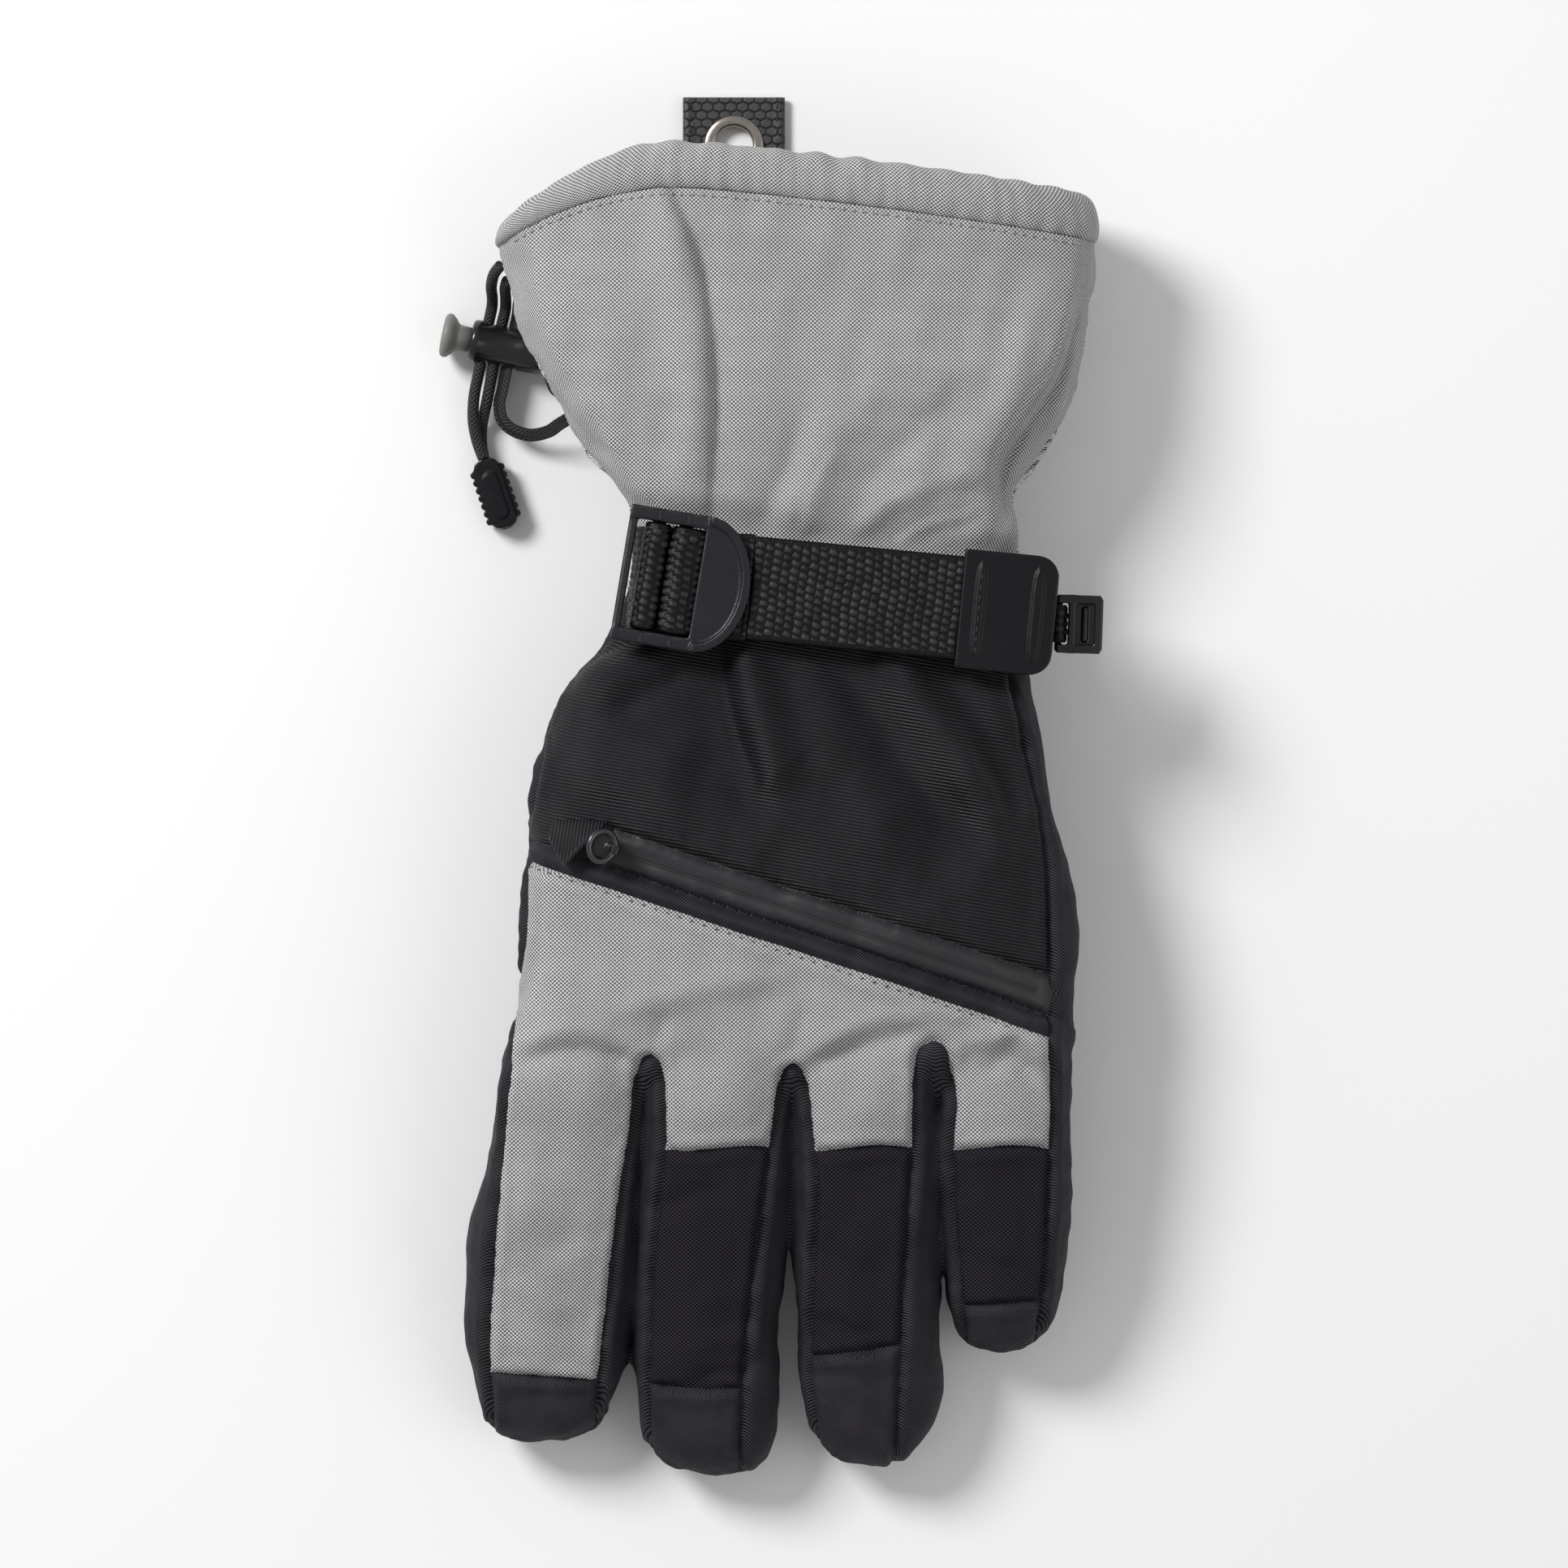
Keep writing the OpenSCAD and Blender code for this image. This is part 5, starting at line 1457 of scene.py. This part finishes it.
def eyelet():
    profile = catmull([(.1, 5.3), (.05, 6.4), (.25, 7.2), (.75, 7.35), (.9, 6.9), (.9, 5.8), (1.5, 5.4),
                       (2.3, 5.8),
                       (2.4, 6.9), (2.55, 7.35), (3.0, 7.1), (3.25, 6.2), (3.2, 5.2), (2.8, 4.7),
                       (1.6, 4.6),
                       (.5, 4.75)], 4)
    Q, F = turned_solid([tuple(p) for p in profile])
    Q = np.stack([Q[:, 1] + EYELET[0], Q[:, 2] + EYELET[1], np.maximum(Q[:, 0], .02)], 1)
    return new_mesh("eyelet_ring", Q, F)


finish_piece(eyelet(), METAL, "hand", "eyelet_metal", ["eyelet"])


# ---------------------------------------------------------------- wrist strap
def arc(cx, cz, r, start, end, steps=14):
    return [(cx + r * math.cos(a),
             cz + r * math.sin(a)) for a in np.radians(np.linspace(start, end, steps))]


def dot(x, y, r, sides):
    """A round outline about a place."""
    turns = np.linspace(0, 2 * np.pi, sides, endpoint=False)
    return [(x + r * math.cos(a), y + r * math.sin(a)) for a in turns]


def buckle():
    """The ladder frame: a left bar, two round bars between rails, and a D-shaped tab with a raised rim."""
    side, rail_end = 16.4, 19.4
    parts = []
    for s in (-1, 1):
        inner, outer = s * (side - 3.2), s * side
        for low, high, z_low, z_high in ((0, 7, 46.3, 46.3), (6.5, 14, 46.3, 46.8),
                                         (13.5, rail_end + .5, 46.8, 48.6)):
            box = [(low, z_low), (high, z_high), (high, 51.2), (low, 50.8)]
            parts.append(prism(box, min(inner, outer), max(inner, outer), "xzy"))
    parts.append(prism([(0, 46.3), (2, 46.3), (2, 50.2), (1, 50.8), (0, 50.4)], -side, side, "xzy"))
    for x in (BAR_LEFT, BAR_RIGHT):
        parts.append(prism(dot(x, BAR_Z, 1.4, 20), -side + 1, side - 1, "xzy"))
    curve = lambda a, inset: (rail_end + (11.8 - inset) * math.cos(a), (side - inset) * math.sin(a))
    turns = np.linspace(-np.pi / 2, np.pi / 2, 41)
    plate = [(rail_end - .8, -side + 1)] + [curve(a, .8) for a in turns] + [(rail_end - .8, side - 1)]
    parts.append(prism(plate, 49.3, 51.1))
    for a, b in zip(turns, turns[1:]):
        parts.append(prism([curve(a, 2.1), curve(a, 0), curve(b, 0), curve(b, 2.1)], 48.9, 51.9))
    return mould("buckle_frame", parts, on_buckle, .28, 3)


finish_piece(buckle(), BUCKLE_PLASTIC, "buckle", "buckle_plastic", ["ladder_buckle"])
wrap_path = ([(31.3, 45.5), (24, 45.5), (18, 45.5)] + arc(BAR_RIGHT, BAR_Z, 2.5, 270, 90)
             + [(16.5, 49.9), (18.6, 48.7), (22, 48.3), (31.3, 48.3)])
finish_piece(webbing("strap_through_buckle", wrap_path, on_wrap, 25.8, 1.5, 1), WEBBING, "buckle",
             "webbing",
             ["strap_wrap"])
anchor_path = arc(BAR_LEFT, BAR_Z, 2.5, -60, 225, 26) + [(5, 44.8), (4.9, 43.4), (5.6, 42.2)]
finish_piece(webbing("strap_anchor", anchor_path[::-1], on_buckle, 25.8, 1.3, 2), WEBBING, "hand",
             "webbing",
             ["anchor_web"])
finish_piece(webbing("strap_tail_web", [(31.5, 48.3), (60, 48.3), (87.4, 48.3)], on_strap, 25, 1.6, 3),
             WEBBING,
             "tail", "webbing", ["strap_tail"])
lower_path = catmull([(3.4, 34), (3.3, 38), (5.6, 41.2), (11, 42.9), (20, 43.6), (27, 44.6), (34, 45.5),
                      (66, 45.6), (78, 45), (86, 43.7), (93, 41.8), (98.4, 37.4), (101.2, 31)], 6)
finish_piece(webbing("strap_under", lower_path, on_strap, 25, 1.5, 4), WEBBING, "hand", "webbing",
             ["strap_lower"])


def end_tab():
    at, tall = 81.6, 28.6
    right = [(x + 6, y) for x, y in rounded(34, tall, 5.2, 9) if x > 0]
    right = sorted(right, key=lambda p: math.atan2(p[1], p[0] - 12))
    body = [(0, -tall / 2)] + right + [(0, tall / 2)]
    body = [(at + x, y) for x, y in body]
    low, high = 46.25, 50.35
    parts = [prism(body, low, high)]
    for x, w in ((at + 4.6, 2.0), (at + 18.4, 2.5)):
        lens = []
        for k in range(24):
            v = -11.4 + 22.8 * k / 23
            lens.append((x + w / 2 * (1 - abs(v / 11.4) ** 5) ** .5, v))
        lens += [(2 * x - p[0], p[1]) for p in lens[::-1]]
        parts.append(prism(lens, high - .4, high + .55))
    return mould("strap_end_cap", parts, on_strap, .28, 3)


finish_piece(end_tab(), PLASTIC, "tail", "buckle_plastic", ["strap_end_tab"])
cap_seam = resampled([(86.2, -10.6, 50.75), (86.2, 10.6, 50.75)], 1)
cap_thread = joined([stitches(on_strap(cap_seam), facing(cap_seam), 2.5, 1.8, .22)])
finish_piece(new_mesh("end_cap_thread", *cap_thread), BLACK_THREAD, "tail", "buckle_plastic")


# ---------------------------------------------------------------- pair clip
def clip_frame():
    parts = [prism([(2.3, -7.1), (4.1, -7.1), (4.1, 7.1), (2.3, 7.1)], -1.4, 1.4),
             prism([(8.7, -6.6), (10.2, -6.6), (10.7, -6), (10.7, 6), (10.2, 6.6), (8.7, 6.6)], -1.4, 1.4)]
    for s in (-1, 1):
        parts.append(prism([(-.4, s * 5), (10.2, s * 5), (10.2, s * 7), (-.4, s * 7)][::s], -1.3, 1.35))
    parts.append(prism(dot(0, 0, .85, 16), -6.4, 6.4, "xzy"))
    return mould("clip_frame", parts, on_clip, .25, 2)


finish_piece(clip_frame(), GLOSS, "clip", "buckle_plastic", ["pair_clip_frame"])
latch = [prism([(x + .1, y) for x, y in rounded(7.6, 10.4, .8, 4)], -1.1, .1),
         prism(rounded(1.2, 8.2, .4, 3), 0, 1.3)]
finish_piece(mould("clip_latch", [(q + [6.4, 0, 0], f) for q, f in latch], on_clip, .22, 2), GLOSS, "clip",
             "buckle_plastic", ["pair_clip_latch"])
loop = [(-5.2, -.4), (-3.4, -.9), (-2, -1.5)] + arc(0, 0, 1.6, 240, 500, 24)
finish_piece(webbing("clip_loop", loop, on_clip, 9, .9, 5), WEBBING, "hand", "webbing", ["pair_clip_web"])


# ---------------------------------------------------------------- zip
def zip_teeth():
    """The slit between the two coated edges of the zip, and the ends of its teeth just showing."""
    parts = []
    for s in (-1, 1):
        path = resampled([(-1, s * .4), (107, s * .4)], .6)
        flat = on_zip(np.column_stack([path, np.zeros(len(path))]))[:, :2]
        Q, up = on_skin(flat)
        edge, F, _ = tube(Q + up * .02, lambda k, n: [(c[0] * .3, c[1] * .16) for c in circle(1, 8)])
        parts.append((edge, F))
    return joined(parts)


finish_piece(new_mesh("zip_lips", *zip_teeth()), FILM, "hand", "zip_film")


def zip_slider():
    body = [(x - 2.4, y) for x, y in rounded(8, 5.4, 2, 6)]
    parts = [prism(body, 47.3, 49.1), prism(rounded(3.4, 2.2, .7, 4), 49, 49.8)]
    parts.append(prism([(-.6, 49.4), (1.8, 49.4), (1.8, 51), (1.2, 51.7), (0, 51.7), (-.6, 51)], -1.1, 1.1,
                       "xzy"))
    return mould("zip_slider_body", parts, on_zip, .22, 3)


finish_piece(zip_slider(), GLOSS, "slider", "zip_metal", ["zip_slider"])


def zip_pull():
    """A thick ring with a rolled rim, hinged on the slider's loop and leaning up."""
    r, wide, tall = 3.7, .75, .62       # the ring, and half of its wire's section
    n, m = 72, 12                       # points round the ring, and round its wire
    points = []
    for a in np.linspace(0, 2 * np.pi, n + 1)[:-1]:
        for b in np.linspace(0, 2 * np.pi, m + 1)[:-1]:
            rr = r + wide * math.cos(b)
            points.append((rr * math.cos(a), rr * math.sin(a), tall * math.sin(b)))
    F = [(i * m + j, ((i + 1) % n) * m + j, ((i + 1) % n) * m + (j + 1) % m, i * m + (j + 1) % m)
         for i in range(n) for j in range(m)]
    Q = np.array(points) + [-3.8, 0, 0]
    tilt = math.radians(36)
    x = Q[:, 0] * math.cos(tilt) + Q[:, 2] * math.sin(tilt)
    z = -Q[:, 0] * math.sin(tilt) + Q[:, 2] * math.cos(tilt)
    return new_mesh("zip_pull_ring", on_zip(np.stack([x + .6, Q[:, 1], z + 50.45], 1)), F)


finish_piece(zip_pull(), DARK_METAL, "zip_puller", "zip_metal", ["zip_ring"])


def garage():
    """The pocket of cloth over the zip's upper end, open toward the slider."""
    n, m = 40, 40
    top, uv = [], []
    for i in range(n):
        s = i / (n - 1)
        half = 1.2 + 5.8 * s ** .7
        for j in range(m):
            w = -1 + 2 * j / (m - 1)
            crown = (1 - abs(w) ** 2.6) ** .6
            x = -16 + (9.6 + 3.2 * w) * s       # the mouth slants back toward the zip's lower side
            z = 46.2 + (.8 + 3.0 * s) * crown + .4 * bell(s - .93, .05) * crown - .9 * (1 - s) ** 2
            top.append((x, w * half - .8 * s, z + .5 * s * math.sin(4.4 * w + 1.2)))
            uv.append((w * half, x))
    low = [(x, y, z - .8 - .6 * (i // m == n - 1)) for i, (x, y, z) in enumerate(top)]
    k = n * m
    F = []
    for i in range(n - 1):
        for j in range(m - 1):
            a, b, c, d = i * m + j, (i + 1) * m + j, (i + 1) * m + j + 1, i * m + j + 1
            F += [(a, b, c, d), (k + a, k + d, k + c, k + b)]
    rim = list(range(m)) + [i * m + m - 1 for i in range(1, n)]
    rim += [(n - 1) * m + j for j in range(m - 2, -1, -1)] + [i * m for i in range(n - 2, 0, -1)]
    F += [(a, b, k + b, k + a) for a, b in zip(rim, rim[1:] + rim[:1])]
    return new_mesh("zip_garage_cloth", on_zip(top + low), F, uv + uv)


finish_piece(garage(), BACK_TWILL, "hand", "black_twill", ["zip_garage"])

# ---------------------------------------------------------------- drawcord and its lock
FRONT = [[-68.9, 126, 20], [-70.6, 124, 17.2], [-71.4, 121.4, 12.6], [-71.3, 118.8, 8.6],
         [-71.5, 116.6, 6.6], [-72.3, 112.9, 6.2], [-73.3, 108, 6.2], [-74.2, 103.4, 6.2], [-75, 99.4, 6.2],
         [-75.9, 94.5, 6.3], [-76.1, 89, 5.6], [-75.2, 84, 4.9], [-73.6, 79.6, 4.9]]
REAR = [[-67.4, 122.6, 16.4], [-68, 120.8, 13.4], [-68, 118.4, 9.6], [-68.2, 116, 7], [-69.1, 112.4, 6.2],
        [-70.1, 107.4, 6.2], [-71.1, 102.6, 6.2], [-71.9, 98.2, 6.2], [-72.7, 94, 5.8], [-73.6, 90.2, 3.9],
        [-74.2, 87, 2.1], [-74.2, 83, 1.7], [-73.6, 79.6, 1.7]]
TAPE = [[-47.4, 94.6, 14.8], [-51.6, 94.6, 14.4], [-55.6, 95.6, 14], [-57.4, 99.6, 14],
        [-59.4, 104.4, 13.8], [-61.2, 109.4, 13.8],
        [-62.8, 114.2, 13.2], [-63.8, 117.8, 10.6], [-64.6, 118.8, 8], [-65, 117.2, 6.5],
        [-65.3, 114.6, 6.2],
        [-66.1, 110.6, 6.2], [-67.7, 102.8, 6.2], [-68.9, 96.8, 6.2], [-69.7, 93, 6.2], [-69, 89.2, 6.2],
        [-66.2, 86.6, 6.2], [-62, 85.4, 6.6], [-57.6, 86.2, 8.4], [-54.6, 88, 11.6], [-50.6, 90, 13.6],
        [-46, 91, 14.8]]


def lock_part(name, profile, material, body, slot, nodes):
    Q, F = turned_solid(profile)
    return finish_piece(new_mesh(name, on_lock(Q), F), material, body, slot, nodes)


lock_part("cord_lock_body", [(-5.4, 0), (-5.4, 4.4), (-5.1, 5.0), (-4.4, 5.25), (-3.4, 5.25), (-2.9, 4.9),
                             (6.4, 4.9),
                             (7.2, 5.2), (13.2, 5.0), (14.1, 4.5), (14.4, 3.6), (14.4, 0)], GLOSS,
                             "cord_lock",
          "tpr", ["cord_lock_barrel", "cord_lock_spring"])
lock_part("cord_lock_button", [(-12.4, 0), (-12.4, 4.4), (-12.1, 5.1), (-11.4, 5.45), (-10.6, 5.3),
                               (-9.6, 4.4),
                               (-8.9, 3.5), (-8.2, 3.1), (-5.0, 3.0), (-5.0, 0)], RUBBER, "lock_button",
                               "tpr",
          ["cord_lock_plunger"])


def cord_piece(name, route, outline, node, material, slot):
    path = catmull(route, 6)
    Q, F, uv = tube(path, outline)
    ob = finish_piece(new_mesh(name, Q, F, uv), material, "hand", slot, [node])
    return ob


def cord_end():
    """The moulded end that grips both strands, with knurled sides."""
    Q, F = prism([(x, y - 8.8) for x, y in rounded(6.4, 17.4, 2.2, 6)], .9, 5.9)
    parts = [(Q, F), prism([(x, y - 8.8) for x, y in rounded(7.4, 15.6, 2, 6)], 1.7, 5.1)]
    for s in (-1, 1):
        for y in range(-3, -16, -2):
            parts.append(prism(dot(s * 3.6, y, .85, 12), 1.3, 5.5))
    parts.append(prism([(x, y - 9.4) for x, y in rounded(3.4, 11.5, 1.6, 6)], 5.5, 6.3))
    parts.append(prism([(x, y - 17) for x, y in rounded(3, 1.8, .6, 4)], 2, 4.6))
    place = lambda Q: turned(Q, math.radians(19), (-73.6, 79.5))
    return mould("cord_end_grip", parts, place, .25, 2)


grip = finish_piece(cord_end(), PLASTIC, "hand", "tpr", ["cord_end"])
for end, route in (("front", FRONT), ("rear", REAR)):
    cord_piece(f"drawcord_strand_{end}", route, lambda *_: circle(1.4, 14), f"drawcord_{end}",
               CORD, "cord_rubber")


def tape_section(*_):
    """A flat tape's outline, leaning over so that its broad side shows from above."""
    lean = math.radians(50)
    c, s = math.cos(lean), math.sin(lean)
    flat = [(.4 * spow(x, .5), 1.7 * spow(y, .5)) for x, y in circle(1, 20)]
    return [(x * c - y * s, x * s + y * c) for x, y in flat]


cord_piece("lock_tape", TAPE, tape_section, "cord_tape", CORD, "cord_rubber")


# ---------------------------------------------------------------- thread
def thread(name, flat_paths, material, slot, body="hand", from_above=True, **how):
    rows = []
    for path in flat_paths:
        Q, up = on_skin(path, from_above)
        if len(Q) > 3:
            rows.append(stitches(Q, up, **how))
    return finish_piece(new_mesh(name, *joined(rows)), material, body, slot)


hem_run = [(x, HEM_LINE + arch(x) - 1.4) for x in np.linspace(-65, 73, 90)]
for name, from_above in (("hem_thread", True), ("hem_thread_under", False)):
    thread(name, [hem_run], GREY_THREAD, "grey_weave", from_above=from_above, pitch=2.6, length=1.9, r=.2)


def zip_offset(across, start, end):
    Q = on_zip(np.column_stack([np.linspace(start, end, 60), np.full(60, across), np.zeros(60)]))
    return [tuple(p) for p in Q[:, :2]]


thread("knuckle_thread", [zip_offset(-KNUCKLE_SEAM - 1.1, -21, 108)], BLACK_THREAD, "black_twill",
       pitch=3.1,
       length=1.1, r=.14)
for k, finger in enumerate(FINGERS):
    (x0, y0), (x1, y1) = CAPS[k]
    path = [(x0 + (x1 - x0) * f, y0 + (y1 - y0) * f - 1.4) for f in np.linspace(.08, .95, 12)]
    thread(f"{finger}_cap_thread", [path], BLACK_THREAD, "black_twill", f"{finger}_tip", pitch=2.3,
           length=1.6, r=.14)
zigzag = [(x, 53 + (2.4 if i % 2 else -2.4)) for i, x in enumerate(np.arange(-34, 50, 2.1))]
thread("elastic_zigzag", [[p for p in zigzag if p[0] < -27], [p for p in zigzag if p[0] > 3]], BLACK_THREAD,
       "black_twill", from_above=False, pitch=.55, length=.55, r=.22)
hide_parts("wrist_elastic")

# ---------------------------------------------------------------- stage, light and camera
FLOOR_HALF, FLOOR_Z = 2500, -.3
floor = new_mesh("floor", [(x * FLOOR_HALF, y * FLOOR_HALF, FLOOR_Z) for x,
                           y in ((-1, -1), (1, -1), (1, 1), (-1, 1))],
                 [(0, 1, 2, 3)], shade=False)
floor.data.materials.append(PAPER)


def soft_light(name, place, size, power):
    """A round area light that looks at the glove's middle."""
    light = bpy.data.lights.new(name, "AREA")
    light.shape, light.size, light.energy = "DISK", size, power
    ob = bpy.data.objects.new(name, light)
    ob.location = place
    ob.rotation_euler = (-Vector(place)).to_track_quat("-Z", "Y").to_euler()
    bpy.context.scene.collection.objects.link(ob)


soft_light("key", (-1.1, .9, 1.3), size=.7, power=33)
soft_light("fill", (1.1, -.3, 1.2), size=1.2, power=4)
world = bpy.data.worlds.new("studio")
bpy.context.scene.world = world
world.use_nodes = True
background = world.node_tree.nodes["Background"]
background.inputs["Color"].default_value = (1, 1, 1, 1)
background.inputs["Strength"].default_value = .43
bpy.context.scene.view_settings.view_transform = "Standard"

# Straight down, with the frame's width set at the height of the glove's back
FRAME_WIDTH, DISTANCE, BACK_HEIGHT, SENSOR = .377, 1.9, .04, 36
camera = bpy.data.objects.new("camera", bpy.data.cameras.new("camera"))
camera.data.sensor_width = SENSOR
camera.data.lens = SENSOR * (DISTANCE - BACK_HEIGHT) / FRAME_WIDTH
camera.location = (0, 0, DISTANCE)
bpy.context.scene.collection.objects.link(camera)
bpy.context.scene.camera = camera
